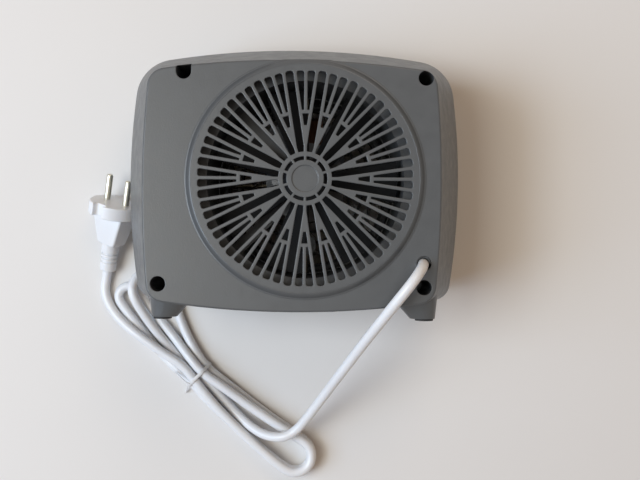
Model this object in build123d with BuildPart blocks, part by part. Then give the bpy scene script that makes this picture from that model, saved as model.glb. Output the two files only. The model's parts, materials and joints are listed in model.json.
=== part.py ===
"""Compact fan heater lying on its front, back upwards, with its lead folded into a tied hank.

Millimetres. +Z points out of the heater's back, +Y to its top, +X to the right as seen from the back.
The origin is on the surface that it lies on, under the middle of the heater.
"""
import math
import os

from build123d import *

# Body: two shells that meet at the seam, its widest section
SEAM_Z = 58.0
BACK_Z = 115.0
FACE_Z = 8.0
WALL = 2.4
SEAM_HALF_WIDTH = 115.5
SEAM_TOP = 93.0
SEAM_BOTTOM = -87.4
SEAM_TOP_CORNER = 28.0
SEAM_BOTTOM_CORNER = 12.0
SEAM_SIDE_BOW = 7.0
SEAM_TOP_BOW = 11.0
SEAM_BOTTOM_BOW = 6.5
BACK_SIDE_SLOPE = 18.9
BACK_TOP_SLOPE = 17.4
BACK_BOTTOM_SLOPE = 0.4
BACK_CORNER = 12.0
BACK_SIDE_BOW = 3.9
BACK_END_BOW = 7.2
BACK_EDGE_CHAMFER = 0.8
FRONT_DRAFT_ANGLE = 2.3
FRONT_EDGE_RADIUS = 18.0

# Rear grille, moulded in the back round the fan's axis
FAN_X = 8.6
FAN_Y = -1.0
PLATEAU_RADIUS = 76.6
PLATEAU_HEIGHT = 3.0
PLATEAU_TAPER = 45.0
GRILLE_THICKNESS = 3.0
GRILLE_SEAT_WIDTH = 2.9
GRILLE_GROUPS = 20
GRILLE_OPEN_RADIUS = 69.1
RIB_WIDTH = 2.1
STEM_WIDTH = 2.0
LEG_START_RADIUS = 21.1
LEG_ANGLE = 8.6
LEG_ROOT_LAP = 0.4
HOLE_INNER = 34.2
CROSSBAR_INNER = 41.6
CROSSBAR_WIDTH = 2.3
WIDE_SLOT_ROUND = 1.9
NARROW_SLOT_ROUND = 1.5
NARROW_SLOT_ANGLE = 3.5
HUB_RADIUS = 16.0
HUB_GAP = 1.3
HUB_DISC_RADIUS = 8.6
HUB_DISC_DEPTH = 0.8
HUB_SLOTS = 10
HUB_SLOT_INNER = 12.0
HUB_SLOT_WIDTH = 2.3
HUB_BRIDGE = 1.6

# Case screws at the floors of deep wells, each set in from the sides of the back
TOP_LEFT_SCREW_INSET = (26.4, 8.0)
TOP_RIGHT_SCREW_INSET = (10.6, 11.2)
BOTTOM_LEFT_SCREW_INSET = (10.9, 17.6)
BOTTOM_RIGHT_SCREW_INSET = (10.9, 16.6)
WELL_RADIUS = 4.9
WELL_WALL = 1.9
WELL_FLOOR = 4.0
WELL_OVERRUN = 1.0
SCREW_HEAD_RADIUS = 3.2
SCREW_HEAD_HEIGHT = 2.6
SCREW_SHANK_RADIUS = 1.75
SCREW_LENGTH = 18.0
SCREW_CLEARANCE = 0.35
SCREW_TIP_ROOM = 2.0
POST_RADIUS = 5.0
DRIVE_WIDTH = 1.1
DRIVE_DEPTH = 1.2

# Feet and their rubber pads
FEET_MIDDLE_X = 1.3
REAR_FOOT_SIDE_INSET = 29.0
FRONT_FOOT_X = 24.0
FOOT_REAR_SETBACK = 18.0
FOOT_FRONT_SETBACK = 18.0
FOOT_END_RADIUS = 6.8
FOOT_TAPER = 24.0
FOOT_LEAN_ANGLE = 18.0
FOOT_ROOT_DEPTH = 10.0
FOOT_HEIGHT = 4.2
PAD_RADIUS = 6.0
PAD_THICKNESS = 1.4

# Round outlet in the front
OUTLET_RADIUS = 60.0
OUTLET_FIT = 0.1
BEZEL_RADIUS = 68.0
BEZEL_CHAMFER = 2.0
SPIGOT_DEPTH = 2.0
SPIGOT_WALL = 2.0
OUTLET_RINGS = 6
OUTLET_RING_WIDTH = 1.8
OUTLET_SPOKES = 8
OUTLET_RING_DEPTH = 5.0
OUTLET_RECESS = 1.5
OUTLET_CENTRE_RADIUS = 9.0

# Air duct with the arms that carry the motor
DUCT_RADIUS = 64.5
DUCT_WALL = 2.0
DUCT_TOP_GAP = 9.0
DUCT_LIP_OVERHANG = 5.0
DUCT_LIP = 2.0
LEDGE_WIDTH = 2.5
LEDGE_HEIGHT = 2.0
LEDGE_TOP_Z = 14.0
ARMS = 4
ARM_WIDTH = 8.0
ARM_THICKNESS = 2.0
ARM_DISC_RADIUS = 27.0

# Shaded-pole motor, below the arms
STATOR_BOTTOM_Z = 50.0
STATOR_STACK = 16.0
STATOR_WIDTH = 52.0
STATOR_REACH = 40.0
STATOR_BACK_REACH = 20.0
STATOR_CORNER = 4.0
STATOR_BORE = 13.0
COIL_LEG = 11.0
COIL_WINDOW = 12.0
COIL_LENGTH = 22.0
COIL_WINDOW_PLAY = 1.0
COIL_BUILD = 5.0
COIL_ROUND = 2.5
AIR_GAP = 0.4
ROTOR_STACK = 17.0
SHAFT_RADIUS = 2.0
SHAFT_FIT = 0.03
BEARING_RADIUS = 6.0
BEARING_HEIGHT = 7.0
BEARING_CUP_WALL = 1.5
BRACKET_STANDOFF = 8.5
BRACKET_WIDTH = 14.0
BRACKET_THICKNESS = 1.5
BRACKET_HOLE = 3.0
MOTOR_SCREW_SPACING = 41.0
MOTOR_SCREW_RADIUS = 1.5
MOTOR_SCREW_HEAD = 2.8
MOTOR_SCREW_HEAD_HEIGHT = 1.6
MOTOR_SCREW_CLEARANCE = 0.2
SPACER_WALL = 1.8

# Fan
IMPELLER_TIP_GAP = 3.0
IMPELLER_CLEARANCE = 4.0
HUB_CAP_RADIUS = 15.0
HUB_CAP_HEIGHT = 12.0
HUB_CAP_WALL = 2.0
HUB_CAP_CHAMFER = 2.0
HUB_BOSS_RADIUS = 5.0
BLADES = 7
BLADE_THICKNESS = 1.5
BLADE_ROOT_CHORD = 14.0
BLADE_TIP_CHORD = 30.0
BLADE_ROOT_PITCH = 42.0
BLADE_TIP_PITCH = 24.0

# Heating element: ribbons in notched boards inside a steel ring
HEATER_FIT = 0.3
HEATER_RING_WALL = 0.8
HEATER_RING_HEIGHT = 22.0
BOARD_THICKNESS = 1.2
BOARD_FIT = 0.1
NOTCH_DEPTH = 9.0
NOTCH_PLAY = 0.5
RIBBONS = {"inner": 22.0, "middle": 36.0, "outer": 50.0}
RIBBON_SWING = 2.6
RIBBON_THICKNESS = 0.5
RIBBON_HEIGHT = 6.0
RIBBON_FOLD = 9.0
CUTOUT_RADIUS = 7.0
CUTOUT_HEIGHT = 9.0

# Controls: two knobs in shallow wells of the front, with a pilot lamp between them
CONTROL_SIDE_INSET = 34.5
THERMOSTAT_Y = 34.0
SELECTOR_Y = -20.0
KNOB_RADIUS = 15.5
KNOB_TOP_RADIUS = 14.0
KNOB_FRONT_Z = 1.0
KNOB_GAP = 0.6
KNOB_SIDE_GAP = 2.0
KNOB_WELL_DEPTH = 6.0
GRIP_WIDTH = 6.0
GRIP_HEIGHT = 5.0
GRIP_INSET = 1.5
KNOB_SHAFT_RADIUS = 3.0
KNOB_SHAFT_FIT = 0.05
KNOB_SOCKET_DEPTH = 5.0
KNOB_SHAFT_HOLE_PLAY = 0.6
KNOB_SHAFT_INSIDE = 12.0
CONTROL_DEPTH = 20.0
THERMOSTAT_WIDTH = 30.0
THERMOSTAT_HEIGHT = 26.0
THERMOSTAT_CORNER = 2.0
SELECTOR_RADIUS = 15.0
LAMP_Y = 7.0
LAMP_RADIUS = 3.5
LAMP_FLANGE_RADIUS = 5.0
LAMP_FLANGE = 1.5
LAMP_PROUD = 1.0
LAMP_LENGTH = 12.0

# Where the lead leaves the back, its clamp and its terminals
CORD_DIAMETER = 7.0
CORD_SIDES = 8
CORD_HOLE_SIDE_INSET = 11.0
CORD_HOLE_BOTTOM_INSET = 32.1
CORD_HOLE_RADIUS = 4.7
CLAMP_LENGTH = 17.0
CLAMP_DEPTH = 5.5
CLAMP_HEIGHT = 7.0
CLAMP_BACK_GAP = 18.0
BOSS_DEPTH = 8.0
CLAMP_SCREW_SPACING = 12.4
CLAMP_SCREW_RADIUS = 1.2
CLAMP_SCREW_HEAD = 2.2
CLAMP_SCREW_HEAD_HEIGHT = 1.4
CLAMP_SCREW_LENGTH = 11.0
CLAMP_SCREW_CLEARANCE = 0.15
TERMINAL_SETBACK = 8.9
TERMINAL_CLAMP_GAP = 2.5
TERMINAL_HEIGHT = 16.0
TERMINAL_LENGTH = 28.0
TERMINAL_WIDTH = 16.0
TERMINAL_POST_RADIUS = 2.5
TERMINAL_POST_INSET = 4.0

# Hank: its waist under the tie, and the four half loops
TIE_SIDE_INSET = 42.6
TIE_BELOW_BODY = 56.5
TIE_HEADING = -44.0
STRAND_STEP = 7.9
REST_Z = 3.6
WAIST_Z = 5.4
LAYER_RISE = 7.7
WAIST_HOLD = 9.0
WAIST_SLOPE = 28.0
HALF_LOOP_RUNS = 5
TURN_RUNS = 5
CROSSING_RISE = 8.8
CROSSING_POINT = 5.1
CROSSING_SPREAD = 1.9
TIE_BAND_WIDTH = 2.4
TIE_BAND_THICKNESS = 0.8
TIE_GAP = 0.5
TIE_END_RADIUS = 0.8
TIE_END_SIDES = 6
TIE_END_BEND = 2.0
END_RUN = 14.0

# Loops of the hank: reach from the waist, half width, swell and bow
WIDE_LOOP = (72.0, 14.5, 1.05, 18.0)
LOWER_LOOP = (95.0, 13.0, 0.7, 8.0)
NARROW_LOOP = (80.0, 8.4, 0.4, 7.0)

# Two-pin plug, lying on the rim of its round flange with its tail end down
PLUG_SIDE_GAP = 18.2
PLUG_Y = -13.4
PLUG_HEADING = 10.5
PLUG_PITCH = 16.0
PLUG_ROLL = 30.0
FLANGE_RADIUS = 19.5
FLANGE_DEPTH = 9.5
FLANGE_CHAMFER = 1.2
SIDE_NOTCH_WIDTH = 9.0
SIDE_NOTCH_DEPTH = 5.0
SIDE_NOTCH_ROUND = 2.0
PLUG_BODY_WIDTH = 29.0
PLUG_BODY_HEIGHT = 17.0
PLUG_NECK_WIDTH = 17.0
PLUG_NECK_HEIGHT = 13.5
PLUG_BODY_CORNER = 2.6
PLUG_BODY_LENGTH = 22.5
COLLAR_LENGTH = 22.0
COLLAR_RADIUS = 6.6
COLLAR_END_RADIUS = 6.0
COLLAR_GROOVES = 3
COLLAR_GROOVE_START = 9.0
COLLAR_GROOVE_STEP = 3.2
COLLAR_GROOVE_WIDTH = 1.4
COLLAR_GROOVE_DEPTH = 1.0
PLUG_CLEARANCE = 0.05
PIN_RADIUS = 2.4
PIN_LENGTH = 19.0
PIN_SPACING = 19.0
PIN_ROOT = 8.0
PIN_TIP_CHAMFER = 1.2

# Lead over the lower edge: places from the mouth of its hole in the back
LEAD_OVER_EDGE = [
    (-0.5, -0.6, 2.0),
    (-3.4, -4.3, 11.0),
    (-9.2, -11.9, 16.2),
    (-20.1, -26.4, 11.0),
    (-35.7, -49.9, -11.0),
    (-50.6, -75.2, -41.0),
]

# Lead down to the surface and up to the hank: places from the tie
LEAD_TO_TIE = [
    (95.0, -8.5, 46.0),
    (84.0, -26.4, 29.5),
    (74.6, -38.7, 23.6),
    (64.5, -44.1, 22.8),
    (50.7, -43.5, 16.5),
    (38.5, -37.5, 9.0),
    (28.5, -29.4, 4.6),
    (18.9, -19.1, 3.8),
]

# Lead from the tie to the plug, crossing over the hank's narrow loop: places from the tie
LEAD_FROM_TIE = [
    (-24.9, 16.0, 11.9),
    (-38.2, 25.2, 11.5),
    (-50.8, 33.8, 10.2),
    (-62.2, 43.2, 6.4),
    (-70.4, 54.2, 3.6),
    (-73.0, 64.4, 3.6),
]

# Loose ends of the tie: places along and across the waist, and heights
TIE_ENDS = [
    [(0.0, -7.7, 14.4), (-2.0, -9.0, 15.4), (-14.7, -10.4, 10.5)],
    [(0.0, -12.3, 5.4), (0.8, -14.2, 4.4), (2.4, -17.6, 1.2)],
]

# Inner wires, from the terminals round the duct's lower side to the controls
WIRE_RADIUS = 1.2
WIRE_SIDES = 6
WIRE_BEND = 5.0
WIRE_Y = -75.0
WIRE_STEP = 4.0

# Places that follow from the sizes above
BACK_HALF_WIDTH = SEAM_HALF_WIDTH - BACK_SIDE_SLOPE
BACK_TOP = SEAM_TOP - BACK_TOP_SLOPE
BACK_BOTTOM = SEAM_BOTTOM + BACK_BOTTOM_SLOPE
SCREW_PLACES = (
    (TOP_LEFT_SCREW_INSET[0] - BACK_HALF_WIDTH, BACK_TOP - TOP_LEFT_SCREW_INSET[1]),
    (BACK_HALF_WIDTH - TOP_RIGHT_SCREW_INSET[0], BACK_TOP - TOP_RIGHT_SCREW_INSET[1]),
    (BOTTOM_LEFT_SCREW_INSET[0] - BACK_HALF_WIDTH, BACK_BOTTOM + BOTTOM_LEFT_SCREW_INSET[1]),
    (BACK_HALF_WIDTH - BOTTOM_RIGHT_SCREW_INSET[0], BACK_BOTTOM + BOTTOM_RIGHT_SCREW_INSET[1]),
)
FRONT_FLOOR_Z = FACE_Z + WALL
BACK_INSIDE_Z = BACK_Z - WALL
PLATEAU_Z = BACK_Z + PLATEAU_HEIGHT
REAR_FOOT_X = SEAM_HALF_WIDTH - REAR_FOOT_SIDE_INSET
FOOT_REAR_Z = BACK_Z - FOOT_REAR_SETBACK
FOOT_FRONT_Z = FACE_Z + FOOT_FRONT_SETBACK
FOOT_END_Y = SEAM_BOTTOM - FOOT_HEIGHT
DUCT_TOP_Z = BACK_Z - DUCT_TOP_GAP
STATOR_TOP_Z = STATOR_BOTTOM_Z + STATOR_STACK
REAR_STRAP_Z = STATOR_TOP_Z + BRACKET_STANDOFF
ARM_BOTTOM_Z = REAR_STRAP_Z + BRACKET_THICKNESS
ARM_TOP_Z = ARM_BOTTOM_Z + ARM_THICKNESS
FRONT_STRAP_Z = STATOR_BOTTOM_Z - BRACKET_STANDOFF - BRACKET_THICKNESS
IMPELLER_RADIUS = DUCT_RADIUS - IMPELLER_TIP_GAP
IMPELLER_BOTTOM_Z = ARM_TOP_Z + IMPELLER_CLEARANCE
IMPELLER_TOP_Z = IMPELLER_BOTTOM_Z + HUB_CAP_HEIGHT
HEATER_RING_RADIUS = DUCT_RADIUS - HEATER_FIT
HEATER_TOP_Z = LEDGE_TOP_Z + HEATER_RING_HEIGHT
CUTOUT_Y = -(RIBBONS["middle"] + RIBBONS["outer"]) / 2
KNOB_WELL_RADIUS = KNOB_RADIUS + KNOB_SIDE_GAP
KNOB_WELL_Z = FACE_Z + KNOB_WELL_DEPTH
CONTROL_X = CONTROL_SIDE_INSET - SEAM_HALF_WIDTH
CONTROL_SEAT_Z = KNOB_WELL_Z + WALL
CORD_RADIUS = CORD_DIAMETER / 2
CORD_HOLE_X = BACK_HALF_WIDTH - CORD_HOLE_SIDE_INSET
CORD_HOLE_Y = BACK_BOTTOM + CORD_HOLE_BOTTOM_INSET
CLAMP_BOTTOM_Z = BACK_Z - CLAMP_BACK_GAP
TERMINAL_Y = CORD_HOLE_Y + TERMINAL_SETBACK
TERMINAL_TOP_Z = CLAMP_BOTTOM_Z - TERMINAL_CLAMP_GAP
TIE_X = TIE_SIDE_INSET - SEAM_HALF_WIDTH
TIE_Y = SEAM_BOTTOM - TIE_BELOW_BODY
MOTOR_SCREW_PLACES = ((-MOTOR_SCREW_SPACING / 2, 0), (MOTOR_SCREW_SPACING / 2, 0))
CLAMP_SCREW_PLACES = ((-CLAMP_SCREW_SPACING / 2, 0), (CLAMP_SCREW_SPACING / 2, 0))
UPPER_WAIST_Z = WAIST_Z + STRAND_STEP * math.sin(math.radians(60))
PLUG_TAIL = -(FLANGE_DEPTH + PLUG_BODY_LENGTH + COLLAR_LENGTH)


def fan_plane(height):
    """Plane square to the fan's axis, at a height."""
    return Plane(origin=(FAN_X, FAN_Y, height))


def save(part, name):
    """Label a finished piece and write it as parts/<name>.step."""
    part.label = name
    export_step(part, f"parts/{name}.step")


def bowed_outline(half_width, side_bow, ends, bows, corners):
    """Return a face with four gently bowed sides and round corners; each pair is for the top and the bottom."""
    side = half_width - side_bow
    top, bottom = ends
    upper = top - bows[0]
    lower = bottom + bows[1]
    middle = (upper + lower) / 2
    with BuildSketch() as outline:
        with BuildLine():
            ThreePointArc((-side, lower), (-half_width, middle), (-side, upper))
            ThreePointArc((-side, upper), (0, top), (side, upper))
            ThreePointArc((side, upper), (half_width, middle), (side, lower))
            ThreePointArc((side, lower), (0, bottom), (-side, lower))
        make_face()
        fillet(outline.vertices().sort_by(Axis.Y)[2:], radius=corners[0])
        fillet(outline.vertices().sort_by(Axis.Y)[:2], radius=corners[1])
    return outline.sketch


def seam_outline(inset):
    """Outline of the body at the seam, moved in by an inset."""
    return bowed_outline(
        SEAM_HALF_WIDTH - inset,
        SEAM_SIDE_BOW,
        (SEAM_TOP - inset, SEAM_BOTTOM + inset),
        (SEAM_TOP_BOW, SEAM_BOTTOM_BOW),
        (SEAM_TOP_CORNER - inset, SEAM_BOTTOM_CORNER - inset),
    )


def back_outline(inset):
    """Outline of the flat back, moved in by an inset."""
    return bowed_outline(
        BACK_HALF_WIDTH - inset,
        BACK_SIDE_BOW,
        (BACK_TOP - inset, BACK_BOTTOM + inset),
        (BACK_END_BOW, BACK_END_BOW),
        (BACK_CORNER - inset, BACK_CORNER - inset),
    )


def rear_body(inset, top_z):
    """Return the solid from the seam to the flat back, with the back's edge cut off, moved in by an inset."""
    with BuildPart() as body:
        with BuildSketch(Plane.XY.offset(SEAM_Z)):
            add(seam_outline(inset))
        with BuildSketch(Plane.XY.offset(top_z - BACK_EDGE_CHAMFER)):
            add(back_outline(inset))
        with BuildSketch(Plane.XY.offset(top_z)):
            add(back_outline(inset + BACK_EDGE_CHAMFER))
        loft(ruled=True)
    return body.part


def front_body(inset, bottom_z):
    """Return the tapered solid from the seam to the front, with its front edge rounded, moved in by an inset."""
    with BuildPart() as body:
        with BuildSketch(Plane.XY.offset(SEAM_Z)):
            add(seam_outline(inset))
        extrude(amount=bottom_z - SEAM_Z, taper=FRONT_DRAFT_ANGLE)
        fillet(body.faces().sort_by(Axis.Z)[0].edges(), radius=FRONT_EDGE_RADIUS - inset)
    return body.part


def cylinder_at(x, y, radius, bottom, top):
    """Return an upright cylinder between two heights."""
    with BuildPart() as column:
        with BuildSketch(Plane(origin=(x, y, bottom))):
            Circle(radius)
        extrude(amount=top - bottom)
    return column.part


def foot_plane(x, y, z):
    """Plane facing down towards the feet's floor, which is towards -Y."""
    return Plane(origin=(x, y, z), x_dir=(1, 0, 0), z_dir=(0, -1, 0))


def clamp_plane(y):
    """Plane of the cord clamp's screws, facing -Y, level with the middle of the clamp."""
    middle = CLAMP_BOTTOM_Z + CLAMP_HEIGHT / 2
    return Plane(origin=(CORD_HOLE_X, y, middle), x_dir=(1, 0, 0), z_dir=(0, -1, 0))


def foot_stub(side, x, height):
    """Round foot that leans outwards and tapers to its end, rooted inside the shell's lower wall."""
    lean = math.radians(FOOT_LEAN_ANGLE)
    length = SEAM_BOTTOM + FOOT_ROOT_DEPTH - FOOT_END_Y
    end = Vector(FEET_MIDDLE_X + side * x, FOOT_END_Y, height)
    inwards = Vector(-side * math.sin(lean), math.cos(lean), 0)
    overrun = FOOT_END_RADIUS * math.tan(lean)
    with BuildPart() as stub:
        with BuildSketch(Plane(origin=end - inwards * overrun, x_dir=(0, 0, 1), z_dir=inwards)):
            Circle(FOOT_END_RADIUS)
        extrude(amount=length + overrun, taper=-FOOT_TAPER)
        split(bisect_by=foot_plane(0, FOOT_END_Y, 0), keep=Keep.BOTTOM)
    return stub.part


# Rear grille

def leg_edge(x, offset):
    """Height of a leg's edge above its group's axis, at a distance out and an offset from its centre line."""
    slope = math.tan(math.radians(LEG_ANGLE))
    return (x - LEG_START_RADIUS) * slope + offset / math.cos(math.radians(LEG_ANGLE))


def turned(point, angle):
    """Turn a 2-D point about the origin."""
    cosine = math.cos(math.radians(angle))
    sine = math.sin(math.radians(angle))
    return (point[0] * cosine - point[1] * sine, point[0] * sine + point[1] * cosine)


def mirrored_polygon(upper_side):
    """Return a polygon's points from its side above the axis, given from the inner end outwards."""
    lower_side = [(x, -y) for x, y in reversed(upper_side)]
    return upper_side + lower_side


def round_outer_end(sketch, radius):
    """Round the corners of an opening that lie furthest out."""
    outermost = max(vertex.X for vertex in sketch.vertices())
    fillet([v for v in sketch.vertices() if v.X > outermost - 1.0], radius=radius)


def grille_group_openings():
    """Openings of one group of ribs, which points along +X: a hole, two narrow slots and a wide one."""
    half_rib = RIB_WIDTH / 2
    crossbar_outer = CROSSBAR_INNER + CROSSBAR_WIDTH
    end = GRILLE_OPEN_RADIUS * math.cos(math.radians(NARROW_SLOT_ANGLE))
    with BuildSketch() as hole:
        side = [(x, leg_edge(x, -half_rib)) for x in (HOLE_INNER, CROSSBAR_INNER)]
        Polygon(*mirrored_polygon(side), align=None)
    with BuildSketch() as slot:
        Polygon(
            (crossbar_outer, half_rib),
            (end, half_rib),
            (end, leg_edge(end, -half_rib)),
            (crossbar_outer, leg_edge(crossbar_outer, -half_rib)),
            align=None,
        )
        round_outer_end(slot, NARROW_SLOT_ROUND)
    pitch = 360 / GRILLE_GROUPS
    stem_end = LEG_START_RADIUS - LEG_ROOT_LAP
    wide_side = [
        (HUB_RADIUS + HUB_GAP, STEM_WIDTH / 2),
        (stem_end, STEM_WIDTH / 2),
        (GRILLE_OPEN_RADIUS, leg_edge(GRILLE_OPEN_RADIUS, half_rib)),
    ]
    wide_side = [turned(point, -pitch / 2) for point in wide_side]
    wide_side = [(x, -y) for x, y in wide_side]
    with BuildSketch() as wide:
        Polygon(*mirrored_polygon(wide_side), align=None)
        round_outer_end(wide, WIDE_SLOT_ROUND)
    with BuildSketch() as group:
        add(hole.sketch)
        add(slot.sketch)
        add(mirror(slot.sketch, about=Plane.XZ, mode=Mode.PRIVATE))
        add(wide.sketch, rotation=pitch / 2)
    return group.sketch


def grille_cutter(bottom, top):
    """Solids that cut every opening of the rear grille."""
    group = grille_group_openings()
    slot_middle = HUB_SLOT_INNER + HUB_SLOT_WIDTH / 2
    with BuildPart() as cutter:
        with BuildSketch(fan_plane(bottom)):
            with PolarLocations(0, GRILLE_GROUPS, start_angle=90):
                add(group)
        extrude(amount=top - bottom)
        with BuildSketch(fan_plane(bottom)):
            Circle(HUB_SLOT_INNER + HUB_SLOT_WIDTH)
            Circle(HUB_SLOT_INNER, mode=Mode.SUBTRACT)
            with PolarLocations(slot_middle, HUB_SLOTS, start_angle=90):
                Rectangle(2 * HUB_SLOT_WIDTH, HUB_BRIDGE, mode=Mode.SUBTRACT)
        extrude(amount=top - bottom)
    return cutter.part


def plateau():
    """Raised round table that carries the grille."""
    with BuildPart() as table:
        with BuildSketch(fan_plane(BACK_Z)):
            Circle(PLATEAU_RADIUS)
        extrude(amount=PLATEAU_HEIGHT, taper=PLATEAU_TAPER)
    return table.part


# Rear shell

def rear_cavity():
    """Space inside the rear shell, with the screw towers, clamp boss and terminal posts left standing."""
    space = rear_body(WALL, BACK_INSIDE_Z)
    boss_y = CORD_HOLE_Y + BOSS_DEPTH / 2
    post_y = TERMINAL_Y + TERMINAL_LENGTH / 2 - TERMINAL_POST_INSET
    post_x = TERMINAL_WIDTH / 2 - TERMINAL_POST_INSET
    with BuildPart() as cavity:
        add(space)
        with BuildSketch(Plane.XY.offset(SEAM_Z)):
            with Locations(*SCREW_PLACES):
                Circle(WELL_RADIUS + WELL_WALL)
        extrude(amount=BACK_INSIDE_Z - SEAM_Z, mode=Mode.SUBTRACT)
        with BuildSketch(Plane(origin=(CORD_HOLE_X, boss_y, CLAMP_BOTTOM_Z))):
            Rectangle(CLAMP_LENGTH, BOSS_DEPTH)
        extrude(amount=BACK_INSIDE_Z - CLAMP_BOTTOM_Z, mode=Mode.SUBTRACT)
        with BuildSketch(Plane(origin=(CORD_HOLE_X, post_y, TERMINAL_TOP_Z))):
            with Locations((-post_x, 0), (post_x, 0)):
                Circle(TERMINAL_POST_RADIUS)
        extrude(amount=BACK_INSIDE_Z - TERMINAL_TOP_Z, mode=Mode.SUBTRACT)
    return cavity.part


def make_rear_shell():
    """Rear shell in one moulding with the grille, its raised table and the two rear feet."""
    form = rear_body(0, BACK_Z)
    cavity = rear_cavity()
    table = plateau()
    feet = [foot_stub(side, REAR_FOOT_X, FOOT_REAR_Z) for side in (-1, 1)]
    grille_underside = PLATEAU_Z - GRILLE_THICKNESS
    openings = grille_cutter(grille_underside - 1, PLATEAU_Z + 1)
    well_limit = back_outline(-WELL_OVERRUN)
    with BuildPart() as shell:
        add(form)
        add(table)
        add(feet)
        add(cavity, mode=Mode.SUBTRACT)
        with BuildSketch(fan_plane(BACK_INSIDE_Z)):
            Circle(GRILLE_OPEN_RADIUS + GRILLE_SEAT_WIDTH)
        extrude(amount=grille_underside - BACK_INSIDE_Z, mode=Mode.SUBTRACT)
        add(openings, mode=Mode.SUBTRACT)
        with BuildSketch(fan_plane(PLATEAU_Z)):
            Circle(HUB_DISC_RADIUS)
        extrude(amount=-HUB_DISC_DEPTH, mode=Mode.SUBTRACT)
        with BuildSketch(Plane.XY.offset(BACK_Z)):
            with Locations(*SCREW_PLACES):
                Circle(WELL_RADIUS)
            with Locations(SCREW_PLACES[0]):
                Rectangle(2 * WELL_RADIUS, 2 * WELL_RADIUS, align=(Align.CENTER, Align.MIN))
            add(well_limit, mode=Mode.INTERSECT)
        extrude(amount=-(BACK_Z - SEAM_Z - WELL_FLOOR), mode=Mode.SUBTRACT)
        with BuildSketch(Plane.XY.offset(SEAM_Z)):
            with Locations(*SCREW_PLACES):
                Circle(SCREW_SHANK_RADIUS + SCREW_CLEARANCE)
        extrude(amount=WELL_FLOOR, mode=Mode.SUBTRACT)
        with BuildSketch(Plane(origin=(CORD_HOLE_X, CORD_HOLE_Y, BACK_INSIDE_Z))):
            Circle(CORD_HOLE_RADIUS)
        extrude(amount=WALL, mode=Mode.SUBTRACT)
        with BuildSketch(Plane(origin=(CORD_HOLE_X, CORD_HOLE_Y, CLAMP_BOTTOM_Z))):
            Circle(CORD_RADIUS)
        extrude(amount=BACK_INSIDE_Z - CLAMP_BOTTOM_Z, mode=Mode.SUBTRACT)
        with BuildSketch(clamp_plane(CORD_HOLE_Y)):
            with Locations(*CLAMP_SCREW_PLACES):
                Circle(CLAMP_SCREW_RADIUS)
        extrude(amount=CLAMP_DEPTH - CLAMP_SCREW_LENGTH, mode=Mode.SUBTRACT)
    save(shell.part, "rear_shell")


# Front shell

def front_cavity():
    """Space inside the front shell, with the screw posts and the walls of the knob wells left standing."""
    space = front_body(WALL, FRONT_FLOOR_Z)
    with BuildPart() as cavity:
        add(space)
        with BuildSketch(Plane.XY.offset(FRONT_FLOOR_Z)):
            with Locations(*SCREW_PLACES):
                Circle(POST_RADIUS)
        extrude(amount=SEAM_Z - FRONT_FLOOR_Z, mode=Mode.SUBTRACT)
        with BuildSketch(Plane.XY.offset(FRONT_FLOOR_Z)):
            with Locations((CONTROL_X, THERMOSTAT_Y), (CONTROL_X, SELECTOR_Y)):
                Circle(KNOB_WELL_RADIUS + WALL)
        extrude(amount=CONTROL_SEAT_Z - FRONT_FLOOR_Z, mode=Mode.SUBTRACT)
    return cavity.part


def make_front_shell():
    """Front shell with the round outlet, the knob wells, the screw posts and the two front feet."""
    form = front_body(0, FACE_Z)
    cavity = front_cavity()
    feet = [foot_stub(side, FRONT_FOOT_X, FOOT_FRONT_Z) for side in (-1, 1)]
    pilot_depth = SCREW_LENGTH - WELL_FLOOR + SCREW_TIP_ROOM
    with BuildPart() as shell:
        add(form)
        add(feet)
        add(cavity, mode=Mode.SUBTRACT)
        with BuildSketch(fan_plane(FACE_Z)):
            Circle(OUTLET_RADIUS)
        extrude(amount=WALL, mode=Mode.SUBTRACT)
        with BuildSketch(Plane.XY.offset(FACE_Z)):
            with Locations((CONTROL_X, THERMOSTAT_Y), (CONTROL_X, SELECTOR_Y)):
                Circle(KNOB_WELL_RADIUS)
        extrude(amount=KNOB_WELL_DEPTH, mode=Mode.SUBTRACT)
        with BuildSketch(Plane.XY.offset(KNOB_WELL_Z)):
            with Locations((CONTROL_X, THERMOSTAT_Y), (CONTROL_X, SELECTOR_Y)):
                Circle(KNOB_SHAFT_RADIUS + KNOB_SHAFT_HOLE_PLAY)
        extrude(amount=WALL, mode=Mode.SUBTRACT)
        with BuildSketch(Plane(origin=(CONTROL_X, LAMP_Y, FACE_Z))):
            Circle(LAMP_RADIUS)
        extrude(amount=WALL, mode=Mode.SUBTRACT)
        with BuildSketch(Plane.XY.offset(SEAM_Z)):
            with Locations(*SCREW_PLACES):
                Circle(SCREW_SHANK_RADIUS)
        extrude(amount=-pilot_depth, mode=Mode.SUBTRACT)
    save(shell.part, "front_shell")


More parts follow.
